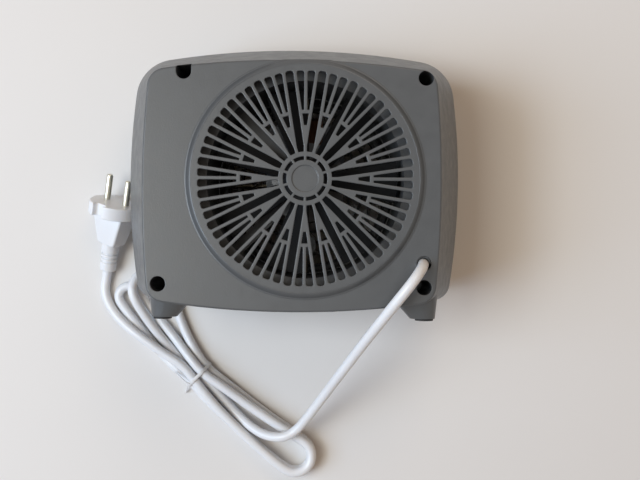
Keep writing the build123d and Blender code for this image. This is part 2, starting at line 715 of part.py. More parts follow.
def make_outlet_grille():
    """Round outlet grille: a bezel that the heater lies on, with rings and spokes set back in it."""
    spigot_radius = OUTLET_RADIUS - OUTLET_FIT
    inner = spigot_radius - SPIGOT_WALL
    ring_step = (inner - OUTLET_CENTRE_RADIUS) / OUTLET_RINGS
    with BuildPart() as grille:
        with BuildSketch(fan_plane(0)):
            Circle(BEZEL_RADIUS)
            Circle(inner, mode=Mode.SUBTRACT)
        extrude(amount=FACE_Z)
        chamfer(grille.edges().group_by(Axis.Z)[0].sort_by(SortBy.LENGTH)[-1], length=BEZEL_CHAMFER)
        with BuildSketch(fan_plane(FACE_Z)):
            Circle(spigot_radius)
            Circle(inner, mode=Mode.SUBTRACT)
        extrude(amount=SPIGOT_DEPTH)
        with BuildSketch(fan_plane(OUTLET_RECESS)):
            for ring in range(OUTLET_RINGS - 1, 0, -1):
                middle = OUTLET_CENTRE_RADIUS + ring * ring_step
                Circle(middle + OUTLET_RING_WIDTH / 2)
                Circle(middle - OUTLET_RING_WIDTH / 2, mode=Mode.SUBTRACT)
            Circle(OUTLET_CENTRE_RADIUS)
            with PolarLocations((inner + OUTLET_CENTRE_RADIUS) / 2, OUTLET_SPOKES):
                Rectangle(inner - OUTLET_CENTRE_RADIUS + OUTLET_RING_WIDTH, OUTLET_RING_WIDTH)
        extrude(amount=OUTLET_RING_DEPTH)
    save(grille.part, "outlet_grille")


# Small parts of the body

def make_foot_pads():
    """Four round rubber pads on the ends of the feet."""
    for end, x, height in (("rear", REAR_FOOT_X, FOOT_REAR_Z), ("front", FRONT_FOOT_X, FOOT_FRONT_Z)):
        for name, side in (("left", -1), ("right", 1)):
            with BuildPart() as pad:
                with BuildSketch(foot_plane(FEET_MIDDLE_X + side * x, FOOT_END_Y, height)):
                    Circle(PAD_RADIUS)
                extrude(amount=PAD_THICKNESS)
            save(pad.part, f"foot_pad_{end}_{name}")


def make_case_screws():
    """Four screws that stand on the floors of the wells and hold the shells together."""
    head_z = SEAM_Z + WELL_FLOOR
    with BuildPart() as screws:
        with BuildSketch(Plane.XY.offset(head_z)):
            with Locations(*SCREW_PLACES):
                Circle(SCREW_HEAD_RADIUS)
        extrude(amount=SCREW_HEAD_HEIGHT)
        with BuildSketch(Plane.XY.offset(head_z)):
            with Locations(*SCREW_PLACES):
                Circle(SCREW_SHANK_RADIUS)
        extrude(amount=-SCREW_LENGTH)
        with BuildSketch(Plane.XY.offset(head_z + SCREW_HEAD_HEIGHT)):
            with Locations(*SCREW_PLACES):
                Rectangle(SCREW_HEAD_RADIUS, DRIVE_WIDTH)
                Rectangle(DRIVE_WIDTH, SCREW_HEAD_RADIUS)
        extrude(amount=-DRIVE_DEPTH, mode=Mode.SUBTRACT)
    save(screws.part, "case_screws")


def make_cord_clamp():
    """Bar with a half-round groove that presses the lead against the shell's boss, and its two screws."""
    outer_y = CORD_HOLE_Y - CLAMP_DEPTH
    with BuildPart() as bar:
        with BuildSketch(Plane(origin=(CORD_HOLE_X, CORD_HOLE_Y - CLAMP_DEPTH / 2, CLAMP_BOTTOM_Z))):
            Rectangle(CLAMP_LENGTH, CLAMP_DEPTH)
        extrude(amount=CLAMP_HEIGHT)
        with BuildSketch(Plane(origin=(CORD_HOLE_X, CORD_HOLE_Y, CLAMP_BOTTOM_Z))):
            Circle(CORD_RADIUS)
        extrude(amount=CLAMP_HEIGHT, mode=Mode.SUBTRACT)
        with BuildSketch(clamp_plane(outer_y)):
            with Locations(*CLAMP_SCREW_PLACES):
                Circle(CLAMP_SCREW_RADIUS + CLAMP_SCREW_CLEARANCE)
        extrude(amount=-CLAMP_DEPTH, mode=Mode.SUBTRACT)
    save(bar.part, "cord_clamp")
    with BuildPart() as screws:
        with BuildSketch(clamp_plane(outer_y)):
            with Locations(*CLAMP_SCREW_PLACES):
                Circle(CLAMP_SCREW_HEAD)
        extrude(amount=CLAMP_SCREW_HEAD_HEIGHT)
        with BuildSketch(clamp_plane(outer_y)):
            with Locations(*CLAMP_SCREW_PLACES):
                Circle(CLAMP_SCREW_RADIUS)
        extrude(amount=-CLAMP_SCREW_LENGTH)
    save(screws.part, "clamp_screws")


def make_terminal_block():
    """Block under the lead's end where the lead meets the inner wiring."""
    with BuildPart() as block:
        with BuildSketch(Plane(origin=(CORD_HOLE_X, TERMINAL_Y, TERMINAL_TOP_Z))):
            Rectangle(TERMINAL_WIDTH, TERMINAL_LENGTH)
        extrude(amount=-TERMINAL_HEIGHT)
    save(block.part, "terminal_block")


# Air duct

def make_fan_duct():
    """Round duct from the fan to the outlet, with a lip, a ledge for the heater and four motor arms."""
    outer = DUCT_RADIUS + DUCT_WALL
    screw_hole = MOTOR_SCREW_RADIUS + MOTOR_SCREW_CLEARANCE
    with BuildPart() as duct:
        with BuildSketch(fan_plane(FRONT_FLOOR_Z)):
            Circle(outer)
            Circle(DUCT_RADIUS, mode=Mode.SUBTRACT)
        extrude(amount=DUCT_TOP_Z - FRONT_FLOOR_Z)
        with BuildSketch(fan_plane(DUCT_TOP_Z)):
            Circle(outer + DUCT_LIP_OVERHANG)
            Circle(DUCT_RADIUS, mode=Mode.SUBTRACT)
        extrude(amount=-DUCT_LIP)
        with BuildSketch(fan_plane(LEDGE_TOP_Z)):
            Circle(outer)
            Circle(DUCT_RADIUS - LEDGE_WIDTH, mode=Mode.SUBTRACT)
        extrude(amount=-LEDGE_HEIGHT)
        with BuildSketch(fan_plane(ARM_BOTTOM_Z)):
            with PolarLocations(DUCT_RADIUS / 2, ARMS, start_angle=45):
                Rectangle(DUCT_RADIUS + DUCT_WALL, ARM_WIDTH)
            Circle(ARM_DISC_RADIUS)
            Circle(BRACKET_HOLE, mode=Mode.SUBTRACT)
            with Locations(*MOTOR_SCREW_PLACES):
                Circle(screw_hole, mode=Mode.SUBTRACT)
        extrude(amount=ARM_THICKNESS)
    save(duct.part, "fan_duct")


# Motor

def make_motor_stator():
    """Laminated stack with the rotor's bore, the coil's window and the screw holes."""
    height = STATOR_REACH + STATOR_BACK_REACH
    middle_y = (STATOR_REACH - STATOR_BACK_REACH) / 2
    window_y = STATOR_REACH - COIL_LEG - COIL_WINDOW / 2
    with BuildPart() as stator:
        with BuildSketch(fan_plane(STATOR_BOTTOM_Z)):
            with Locations((0, middle_y)):
                RectangleRounded(STATOR_WIDTH, height, STATOR_CORNER)
            Circle(STATOR_BORE, mode=Mode.SUBTRACT)
            with Locations((0, window_y)):
                Rectangle(COIL_LENGTH + 2 * COIL_WINDOW_PLAY, COIL_WINDOW, mode=Mode.SUBTRACT)
            with Locations(*MOTOR_SCREW_PLACES):
                Circle(MOTOR_SCREW_RADIUS + MOTOR_SCREW_CLEARANCE, mode=Mode.SUBTRACT)
        extrude(amount=STATOR_STACK)
    save(stator.part, "motor_stator")


def make_motor_coil():
    """Coil wound round the stack's outer leg."""
    leg_y = FAN_Y + STATOR_REACH - COIL_LEG / 2
    leg_z = STATOR_BOTTOM_Z + STATOR_STACK / 2
    end_plane = Plane(origin=(FAN_X - COIL_LENGTH / 2, leg_y, leg_z), x_dir=(0, 1, 0), z_dir=(1, 0, 0))
    with BuildPart() as coil:
        with BuildSketch(end_plane):
            RectangleRounded(COIL_LEG + 2 * COIL_BUILD, STATOR_STACK + 2 * COIL_BUILD, COIL_ROUND)
            Rectangle(COIL_LEG, STATOR_STACK, mode=Mode.SUBTRACT)
        extrude(amount=COIL_LENGTH)
    save(coil.part, "motor_coil")


def make_motor_bracket(name, strap_z, away):
    """Strap on two spacers with a bearing cup, on one side of the stack; away is the side it is on."""
    screw_hole = MOTOR_SCREW_RADIUS + MOTOR_SCREW_CLEARANCE
    stack_face = strap_z - away * BRACKET_STANDOFF
    strap_length = MOTOR_SCREW_SPACING + BRACKET_WIDTH
    with BuildPart() as bracket:
        with BuildSketch(fan_plane(strap_z)):
            SlotOverall(strap_length, BRACKET_WIDTH)
            Circle(BRACKET_HOLE, mode=Mode.SUBTRACT)
            with Locations(*MOTOR_SCREW_PLACES):
                Circle(screw_hole, mode=Mode.SUBTRACT)
        extrude(amount=away * BRACKET_THICKNESS)
        with BuildSketch(fan_plane(stack_face)):
            with Locations(*MOTOR_SCREW_PLACES):
                Circle(screw_hole + SPACER_WALL)
                Circle(screw_hole, mode=Mode.SUBTRACT)
        extrude(amount=away * BRACKET_STANDOFF)
        with BuildSketch(fan_plane(strap_z)):
            Circle(BEARING_RADIUS + BEARING_CUP_WALL)
            Circle(BEARING_RADIUS, mode=Mode.SUBTRACT)
        extrude(amount=-away * BEARING_HEIGHT)
    save(bracket.part, name)


def make_motor_bearing(name, strap_z, away):
    """Sintered bush in a bracket's cup."""
    with BuildPart() as bearing:
        with BuildSketch(fan_plane(strap_z)):
            Circle(BEARING_RADIUS)
            Circle(SHAFT_RADIUS + SHAFT_FIT, mode=Mode.SUBTRACT)
        extrude(amount=-away * BEARING_HEIGHT)
    save(bearing.part, name)


def make_motor_screws():
    """Two long screws that hold the motor to the duct's arms."""
    with BuildPart() as screws:
        with BuildSketch(fan_plane(ARM_TOP_Z)):
            with Locations(*MOTOR_SCREW_PLACES):
                Circle(MOTOR_SCREW_HEAD)
        extrude(amount=MOTOR_SCREW_HEAD_HEIGHT)
        with BuildSketch(fan_plane(ARM_TOP_Z)):
            with Locations(*MOTOR_SCREW_PLACES):
                Circle(MOTOR_SCREW_RADIUS)
        extrude(amount=FRONT_STRAP_Z - ARM_TOP_Z)
    save(screws.part, "motor_screws")


def make_rotor_and_shaft():
    """Rotor inside the stack's bore, and the shaft that it shares with the fan."""
    rotor_bottom = STATOR_BOTTOM_Z + (STATOR_STACK - ROTOR_STACK) / 2
    with BuildPart() as rotor:
        with BuildSketch(fan_plane(rotor_bottom)):
            Circle(STATOR_BORE - AIR_GAP)
            Circle(SHAFT_RADIUS, mode=Mode.SUBTRACT)
        extrude(amount=ROTOR_STACK)
    save(rotor.part, "motor_rotor")
    shaft_top = IMPELLER_TOP_Z - HUB_CAP_WALL
    shaft = cylinder_at(FAN_X, FAN_Y, SHAFT_RADIUS, FRONT_STRAP_Z, shaft_top)
    save(shaft, "motor_shaft")


# Fan

def blade_plane(radius, height):
    """Plane square to a radius of the fan, at a blade's middle height."""
    return Plane(origin=(FAN_X + radius, FAN_Y, height), x_dir=(0, 1, 0), z_dir=(1, 0, 0))


def fan_blade():
    """One twisted blade, trimmed to the fan's radius."""
    height = IMPELLER_BOTTOM_Z + HUB_CAP_HEIGHT / 2
    root = HUB_CAP_RADIUS - HUB_CAP_WALL / 2
    with BuildPart() as blade:
        with BuildSketch(blade_plane(root, height)):
            Rectangle(BLADE_ROOT_CHORD, BLADE_THICKNESS, rotation=BLADE_ROOT_PITCH)
        with BuildSketch(blade_plane(IMPELLER_RADIUS, height)):
            Rectangle(BLADE_TIP_CHORD, BLADE_THICKNESS, rotation=BLADE_TIP_PITCH)
        loft()
        with BuildSketch(fan_plane(IMPELLER_BOTTOM_Z - BLADE_TIP_CHORD)):
            Circle(IMPELLER_RADIUS)
        extrude(amount=3 * BLADE_TIP_CHORD, mode=Mode.INTERSECT)
    return blade.part


def make_fan_impeller():
    """Axial fan: a hollow hub cap with a boss on the shaft, and twisted blades."""
    blade = fan_blade()
    axis = Axis((FAN_X, FAN_Y, 0), (0, 0, 1))
    blades = [blade.rotate(axis, 360 * index / BLADES) for index in range(BLADES)]
    with BuildPart() as impeller:
        with BuildSketch(fan_plane(IMPELLER_BOTTOM_Z)):
            Circle(HUB_CAP_RADIUS)
        extrude(amount=HUB_CAP_HEIGHT)
        chamfer(impeller.edges().group_by(Axis.Z)[-1], length=HUB_CAP_CHAMFER)
        add(blades)
        with BuildSketch(fan_plane(IMPELLER_BOTTOM_Z)):
            Circle(HUB_CAP_RADIUS - HUB_CAP_WALL)
            Circle(HUB_BOSS_RADIUS, mode=Mode.SUBTRACT)
            Circle(SHAFT_RADIUS)
        extrude(amount=HUB_CAP_HEIGHT - HUB_CAP_WALL, mode=Mode.SUBTRACT)
    save(impeller.part, "fan_impeller")


# Heating element

def make_heater_ring():
    """Steel ring that stands on the duct's ledge and holds the boards."""
    with BuildPart() as ring:
        with BuildSketch(fan_plane(LEDGE_TOP_Z)):
            Circle(HEATER_RING_RADIUS)
            Circle(HEATER_RING_RADIUS - HEATER_RING_WALL, mode=Mode.SUBTRACT)
        extrude(amount=HEATER_RING_HEIGHT)
    save(ring.part, "heater_ring")


def make_heater_board(name, across, lap_from_top):
    """Notched board across the ring; across is its direction, and the boards lap at the middle."""
    inner = HEATER_RING_RADIUS - HEATER_RING_WALL
    half_length = math.sqrt(inner**2 - (BOARD_THICKNESS / 2) ** 2)
    notch_width = 2 * (RIBBON_SWING + RIBBON_THICKNESS / 2 + NOTCH_PLAY)
    normal = (across[1], -across[0], 0)
    lap_side = 1 if lap_from_top else -1
    with BuildPart() as board:
        with BuildSketch(Plane(origin=(FAN_X, FAN_Y, LEDGE_TOP_Z), x_dir=(*across, 0), z_dir=normal)):
            with Locations((0, HEATER_RING_HEIGHT / 2)):
                Rectangle(2 * half_length, HEATER_RING_HEIGHT)
            for radius in RIBBONS.values():
                with Locations((-radius, HEATER_RING_HEIGHT), (radius, HEATER_RING_HEIGHT)):
                    Rectangle(notch_width, 2 * NOTCH_DEPTH, mode=Mode.SUBTRACT)
            with Locations((0, HEATER_RING_HEIGHT / 2 + lap_side * HEATER_RING_HEIGHT / 2)):
                Rectangle(BOARD_THICKNESS + BOARD_FIT, HEATER_RING_HEIGHT, mode=Mode.SUBTRACT)
        extrude(amount=BOARD_THICKNESS / 2, both=True)
    save(board.part, name)


def make_heating_ribbons():
    """Three closed zigzag ribbons that lie in the boards' notches."""
    floor = HEATER_TOP_Z - NOTCH_DEPTH
    for name, radius in RIBBONS.items():
        folds = round(2 * math.pi * radius / RIBBON_FOLD)
        with BuildPart() as ribbon:
            with BuildSketch(fan_plane(floor)):
                Polygon(*zigzag(radius + RIBBON_THICKNESS / 2, folds), align=None)
                Polygon(*zigzag(radius - RIBBON_THICKNESS / 2, folds), align=None, mode=Mode.SUBTRACT)
            extrude(amount=RIBBON_HEIGHT)
        save(ribbon.part, f"heating_ribbon_{name}")


def zigzag(radius, folds):
    """Return points that swing in and out about a circle."""
    points = []
    for index in range(2 * folds):
        swing = RIBBON_SWING if index % 2 else -RIBBON_SWING
        angle = math.pi * index / folds
        points.append(((radius + swing) * math.cos(angle), (radius + swing) * math.sin(angle)))
    return points


def make_thermal_cutout():
    """Round safety cut-out that stands on a board's upper edge."""
    top = HEATER_TOP_Z + CUTOUT_HEIGHT
    save(cylinder_at(FAN_X, FAN_Y + CUTOUT_Y, CUTOUT_RADIUS, HEATER_TOP_Z, top), "thermal_cutout")


# Controls

def make_knob(name, y):
    """Knob with a bar grip and a blind socket, and its shaft."""
    grip_z = KNOB_FRONT_Z + GRIP_HEIGHT
    knob_back = KNOB_WELL_Z - KNOB_GAP
    with BuildPart() as knob:
        with BuildSketch(Plane(origin=(CONTROL_X, y, knob_back))):
            Circle(KNOB_RADIUS)
        with BuildSketch(Plane(origin=(CONTROL_X, y, grip_z))):
            Circle(KNOB_TOP_RADIUS)
        loft()
        with BuildSketch(Plane(origin=(CONTROL_X, y, KNOB_FRONT_Z))):
            SlotOverall(2 * (KNOB_TOP_RADIUS - GRIP_INSET), GRIP_WIDTH, rotation=90)
        extrude(amount=GRIP_HEIGHT)
        with BuildSketch(Plane(origin=(CONTROL_X, y, knob_back))):
            Circle(KNOB_SHAFT_RADIUS)
        extrude(amount=-KNOB_SOCKET_DEPTH, mode=Mode.SUBTRACT)
    save(knob.part, f"{name}_knob")
    shaft_bottom = knob_back - KNOB_SOCKET_DEPTH
    shaft_top = CONTROL_SEAT_Z + KNOB_SHAFT_INSIDE
    save(cylinder_at(CONTROL_X, y, KNOB_SHAFT_RADIUS, shaft_bottom, shaft_top), f"{name}_shaft")


def make_control_bodies():
    """Thermostat and selector switch, seated behind their knob wells."""
    bore = KNOB_SHAFT_RADIUS + KNOB_SHAFT_FIT
    with BuildPart() as thermostat:
        with BuildSketch(Plane(origin=(CONTROL_X, THERMOSTAT_Y, CONTROL_SEAT_Z))):
            RectangleRounded(THERMOSTAT_WIDTH, THERMOSTAT_HEIGHT, THERMOSTAT_CORNER)
        extrude(amount=CONTROL_DEPTH)
        with BuildSketch(Plane(origin=(CONTROL_X, THERMOSTAT_Y, CONTROL_SEAT_Z))):
            Circle(bore)
        extrude(amount=KNOB_SHAFT_INSIDE + KNOB_GAP, mode=Mode.SUBTRACT)
    save(thermostat.part, "thermostat_body")
    with BuildPart() as selector:
        with BuildSketch(Plane(origin=(CONTROL_X, SELECTOR_Y, CONTROL_SEAT_Z))):
            Circle(SELECTOR_RADIUS)
        extrude(amount=CONTROL_DEPTH)
        with BuildSketch(Plane(origin=(CONTROL_X, SELECTOR_Y, CONTROL_SEAT_Z))):
            Circle(bore)
        extrude(amount=KNOB_SHAFT_INSIDE + KNOB_GAP, mode=Mode.SUBTRACT)
    save(selector.part, "selector_body")


def make_pilot_lamp():
    """Small round lamp through the front, with a flange inside."""
    with BuildPart() as lamp:
        with BuildSketch(Plane(origin=(CONTROL_X, LAMP_Y, FACE_Z - LAMP_PROUD))):
            Circle(LAMP_RADIUS)
        extrude(amount=LAMP_LENGTH)
        with BuildSketch(Plane(origin=(CONTROL_X, LAMP_Y, FRONT_FLOOR_Z))):
            Circle(LAMP_FLANGE_RADIUS)
        extrude(amount=LAMP_FLANGE)
    save(lamp.part, "pilot_lamp")


# Inner wires

def make_inner_wires():
    """Wires from the terminals to the selector and the thermostat, and one between the two."""
    block_side = CORD_HOLE_X - TERMINAL_WIDTH / 2
    block_z = TERMINAL_TOP_Z - TERMINAL_HEIGHT / 2
    control_back = CONTROL_SEAT_Z + CONTROL_DEPTH
    run_end = FAN_X - DUCT_RADIUS
    target_y = SELECTOR_Y - SELECTOR_RADIUS / 2
    for row, name in enumerate(("wire_live", "wire_neutral")):
        start_y = TERMINAL_Y + row * WIRE_STEP
        height = block_z - row * WIRE_STEP
        x = CONTROL_X + (1 - 2 * row) * WIRE_STEP
        points = [
            (block_side, start_y, height),
            (block_side - 2 * WIRE_STEP, start_y, height),
            (FAN_X + DUCT_RADIUS / 2 + row * WIRE_STEP, WIRE_Y, height),
            (run_end, WIRE_Y, height),
            (x, target_y, control_back + 3 * WIRE_BEND),
            (x, target_y, control_back),
        ]
        points = [Vector(*point) for point in points]
        save(tube(points, WIRE_BEND, WIRE_RADIUS, WIRE_SIDES)[1], name)
    height = control_back + 2 * WIRE_BEND
    link = [
        Vector(CONTROL_X + 2 * WIRE_STEP, SELECTOR_Y + WIRE_STEP, control_back),
        Vector(CONTROL_X + 2 * WIRE_STEP, SELECTOR_Y + WIRE_STEP, height),
        Vector(CONTROL_X + 2 * WIRE_STEP, THERMOSTAT_Y - WIRE_STEP, height),
        Vector(CONTROL_X + 2 * WIRE_STEP, THERMOSTAT_Y - WIRE_STEP, control_back),
    ]
    save(tube(link, WIRE_BEND, WIRE_RADIUS, WIRE_SIDES)[1], "wire_switched")


# Lead

def tie_frame(along, across, height):
    """Point given along and across the hank's waist, in the model's own frame."""
    heading = math.radians(TIE_HEADING)
    x = TIE_X + along * math.cos(heading) - across * math.sin(heading)
    y = TIE_Y + along * math.sin(heading) + across * math.cos(heading)
    return Vector(x, y, height)


def half_loop(side, reach, half_width, swell, bow, start, end, level):
    """Points of a half loop of the hank, out from the waist, round and back.

    side is +1 towards the lower right and -1 towards the upper left, reach is the length of a strand,
    half_width the loop's at its far end, swell how late it widens, bow how far its middle line bends
    aside, start and end the strands' (across, height) at the waist, and level the height it lies at.
    """
    waist_middle = (start[0] + end[0]) / 2
    waist_half = abs(start[0] - end[0]) / 2
    first_side = 1 if start[0] > end[0] else -1

    def strand(step, strand_side, waist_height):
        share = step / HALF_LOOP_RUNS
        lean = math.atan(2 * bow * share / reach)
        half = waist_half + (half_width - waist_half) * share**swell
        fall = min(1, max(0, share * reach - WAIST_HOLD) / WAIST_SLOPE)
        fall = fall * fall * (3 - 2 * fall)
        along = share * reach - strand_side * half * math.sin(lean)
        across = waist_middle + bow * share**2 + strand_side * half * math.cos(lean)
        return (side * along, across, waist_height + (level - waist_height) * fall)

    points = [strand(step, first_side, start[1]) for step in range(HALF_LOOP_RUNS + 1)]
    lean = math.atan(2 * bow / reach)
    for step in range(1, TURN_RUNS):
        angle = math.pi * step / TURN_RUNS
        ahead = half_width * math.sin(angle)
        aside = first_side * half_width * math.cos(angle)
        along = reach + ahead * math.cos(lean) - aside * math.sin(lean)
        across = waist_middle + bow + ahead * math.sin(lean) + aside * math.cos(lean)
        points.append((side * along, across, level))
    points += [strand(step, -first_side, end[1]) for step in range(HALF_LOOP_RUNS, -1, -1)]
    return points


def lift_over_crossing(points):
    """Raise a half loop's points where its strand climbs over the narrow loop."""
    lifted = []
    for index, (along, across, height) in enumerate(points):
        bump = math.exp(-(((index - CROSSING_POINT) / CROSSING_SPREAD) ** 2))
        lifted.append((along, across, height + CROSSING_RISE * bump))
    return lifted


def hank_route():
    """Points of the hank: wide loop, lower loop, narrow loop, and a second lower loop on the first."""
    left = (-STRAND_STEP, WAIST_Z)
    middle = (0.0, WAIST_Z)
    right = (STRAND_STEP, WAIST_Z)
    upper_left = (-STRAND_STEP / 2, UPPER_WAIST_Z)
    upper_right = (STRAND_STEP / 2, UPPER_WAIST_Z)
    upper_level = REST_Z + LAYER_RISE
    wide = half_loop(-1, *WIDE_LOOP, middle, right, REST_Z)
    lower = half_loop(1, *LOWER_LOOP, right, left, REST_Z)
    narrow = half_loop(-1, *NARROW_LOOP, left, upper_right, REST_Z)
    second = half_loop(1, *LOWER_LOOP, upper_right, upper_left, upper_level)
    points = lift_over_crossing(wide) + lower[1:] + narrow[1:] + second[1:]
    return [tie_frame(*point) for point in points]


def corner_radii(points):
    """Radius of each corner's arc: as large as its two runs allow."""
    radii = []
    for before, corner, after in zip(points, points[1:], points[2:]):
        run_in = corner - before
        run_out = after - corner
        half_turn = math.radians(run_in.get_angle(run_out)) / 2
        radii.append(0.45 * min(run_in.length, run_out.length) / math.tan(half_turn))
    return radii


def tube(points, radii, radius, sides):
    """Return the middle line and the solid of a faceted tube, with the corners of its route rounded."""
    with BuildPart() as body:
        with BuildLine() as path:
            FilletPolyline(*points, radius=radii)
        with BuildSketch(Plane(origin=points[0], z_dir=points[1] - points[0])):
            RegularPolygon(radius, sides)
        sweep(path=path.wire())
    return path.wire(), body.part


def make_cord(name, points):
    """A stretch of the lead along its route, with its length and bends printed."""
    points = [Vector(*point) for point in points]
    radii = corner_radii(points)
    print(name, "radii:", ", ".join(f"{radius:.0f}" for radius in radii))
    wire, cord = tube(points, radii, CORD_RADIUS, CORD_SIDES)
    section = CORD_SIDES / 2 * CORD_RADIUS**2 * math.sin(2 * math.pi / CORD_SIDES)
    print(f"{name}: length {wire.length:.1f}, least radius {min(radii):.1f},")
    print(f"    volume over section times length {cord.volume / (section * wire.length):.4f}")
    save(cord, name)
    return wire


def least_gap_to_itself(wire, spacing=1.0, apart=16.0):
    """Least gap between turns of the hank, measured on points along its middle line."""
    count = int(wire.length / spacing)
    points = [wire.position_at(index / count) for index in range(count + 1)]
    skip = int(apart / spacing)
    least = min(
        (points[first] - points[second]).length
        for first in range(count)
        for second in range(first + skip, count + 1)
    )
    return least - CORD_DIAMETER


def offset_from(origin, places):
    """Points given by their places from an origin."""
    return [origin + Vector(*place) for place in places]


def make_lead():
    """The lead in three stretches: to the hank, the hank itself, and on to the plug."""
    hank = hank_route()
    into_hank = hank[0] + (hank[0] - hank[1]).normalized() * END_RUN
    out_of_hank = hank[-1] + (hank[-1] - hank[-2]).normalized() * END_RUN
    plug_end = plug_point(0, 0, PLUG_TAIL)
    before_plug = plug_point(0, 0, PLUG_TAIL - END_RUN / 2)
    mouth = Vector(CORD_HOLE_X, CORD_HOLE_Y, BACK_Z)
    tie = Vector(TIE_X, TIE_Y, 0)
    start = [
        Vector(CORD_HOLE_X, CORD_HOLE_Y, TERMINAL_TOP_Z),
        Vector(CORD_HOLE_X, CORD_HOLE_Y, BACK_INSIDE_Z - CLAMP_HEIGHT),
    ]
    over_edge = offset_from(mouth, LEAD_OVER_EDGE)
    make_cord("cord_lead", [*start, *over_edge, *offset_from(tie, LEAD_TO_TIE), into_hank, hank[0]])
    wire = make_cord("cord_hank", hank)
    print(f"cord_hank: least gap to itself {least_gap_to_itself(wire):.2f}")
    to_plug = offset_from(tie, LEAD_FROM_TIE)
    make_cord("cord_tail", [hank[-1], out_of_hank, *to_plug, before_plug, plug_end])


def make_cord_tie():
    """Band round the hank's waist, with its two loose ends."""
    heading = math.radians(TIE_HEADING)
    waist = Plane(
        origin=tie_frame(-TIE_BAND_WIDTH / 2, 0, 0),
        x_dir=(-math.sin(heading), math.cos(heading), 0),
        z_dir=(math.cos(heading), math.sin(heading), 0),
    )
    strands = (
        (-STRAND_STEP, WAIST_Z),
        (STRAND_STEP, WAIST_Z),
        (STRAND_STEP / 2, UPPER_WAIST_Z),
        (-STRAND_STEP / 2, UPPER_WAIST_Z),
    )
    inner = CORD_RADIUS + TIE_GAP
    ends = []
    for route in TIE_ENDS:
        points = [tie_frame(*point) for point in route]
        ends.append(tube(points, TIE_END_BEND, TIE_END_RADIUS, TIE_END_SIDES)[1])
    with BuildPart() as band:
        with BuildSketch(waist):
            with Locations(*strands):
                Circle(inner + TIE_BAND_THICKNESS)
            make_hull()
            with BuildSketch(mode=Mode.PRIVATE) as opening:
                with Locations(*strands):
                    Circle(inner)
                make_hull()
            add(opening.sketch, mode=Mode.SUBTRACT)
        extrude(amount=TIE_BAND_WIDTH)
        add(ends)
    save(band.part, "cord_tie")


# Plug

def plug_axes():
    """Unit vectors across, up and along the plug, from its heading, pitch and roll."""
    heading = math.radians(PLUG_HEADING)
    pitch = math.radians(PLUG_PITCH)
    roll = math.radians(PLUG_ROLL)
    along = Vector(math.sin(heading) * math.cos(pitch), math.cos(heading) * math.cos(pitch), math.sin(pitch))
    level = Vector(math.cos(heading), -math.sin(heading), 0)
    upright = level.cross(along)
    across = level * math.cos(roll) + upright * math.sin(roll)
    return across, along


def flange_face():
    """Middle of the flange's face, with the flange's rim on the surface."""
    pitch = math.radians(PLUG_PITCH)
    lowest_rim = FLANGE_RADIUS * math.cos(pitch) + (FLANGE_DEPTH - FLANGE_CHAMFER) * math.sin(pitch)
    return Vector(-SEAM_HALF_WIDTH - PLUG_SIDE_GAP, PLUG_Y, lowest_rim + PLUG_CLEARANCE)


def plug_plane(depth):
    """Plane square to the plug's axis; depth 0 is the flange's face and the pins are on its + side."""
    across, along = plug_axes()
    return Plane(origin=flange_face() + along * depth, x_dir=across, z_dir=along)


def plug_point(x, y, depth):
    """Point given in the plug's own frame."""
    return plug_plane(depth).from_local_coords(Vector(x, y, 0))


def cut_cornered_rectangle(width, height, corner):
    """Points of a rectangle with its corners cut off."""
    x = width / 2
    y = height / 2
    upper = [(-x, y - corner), (-x + corner, y), (x - corner, y), (x, y - corner)]
    return upper + [(-px, -py) for px, py in upper]


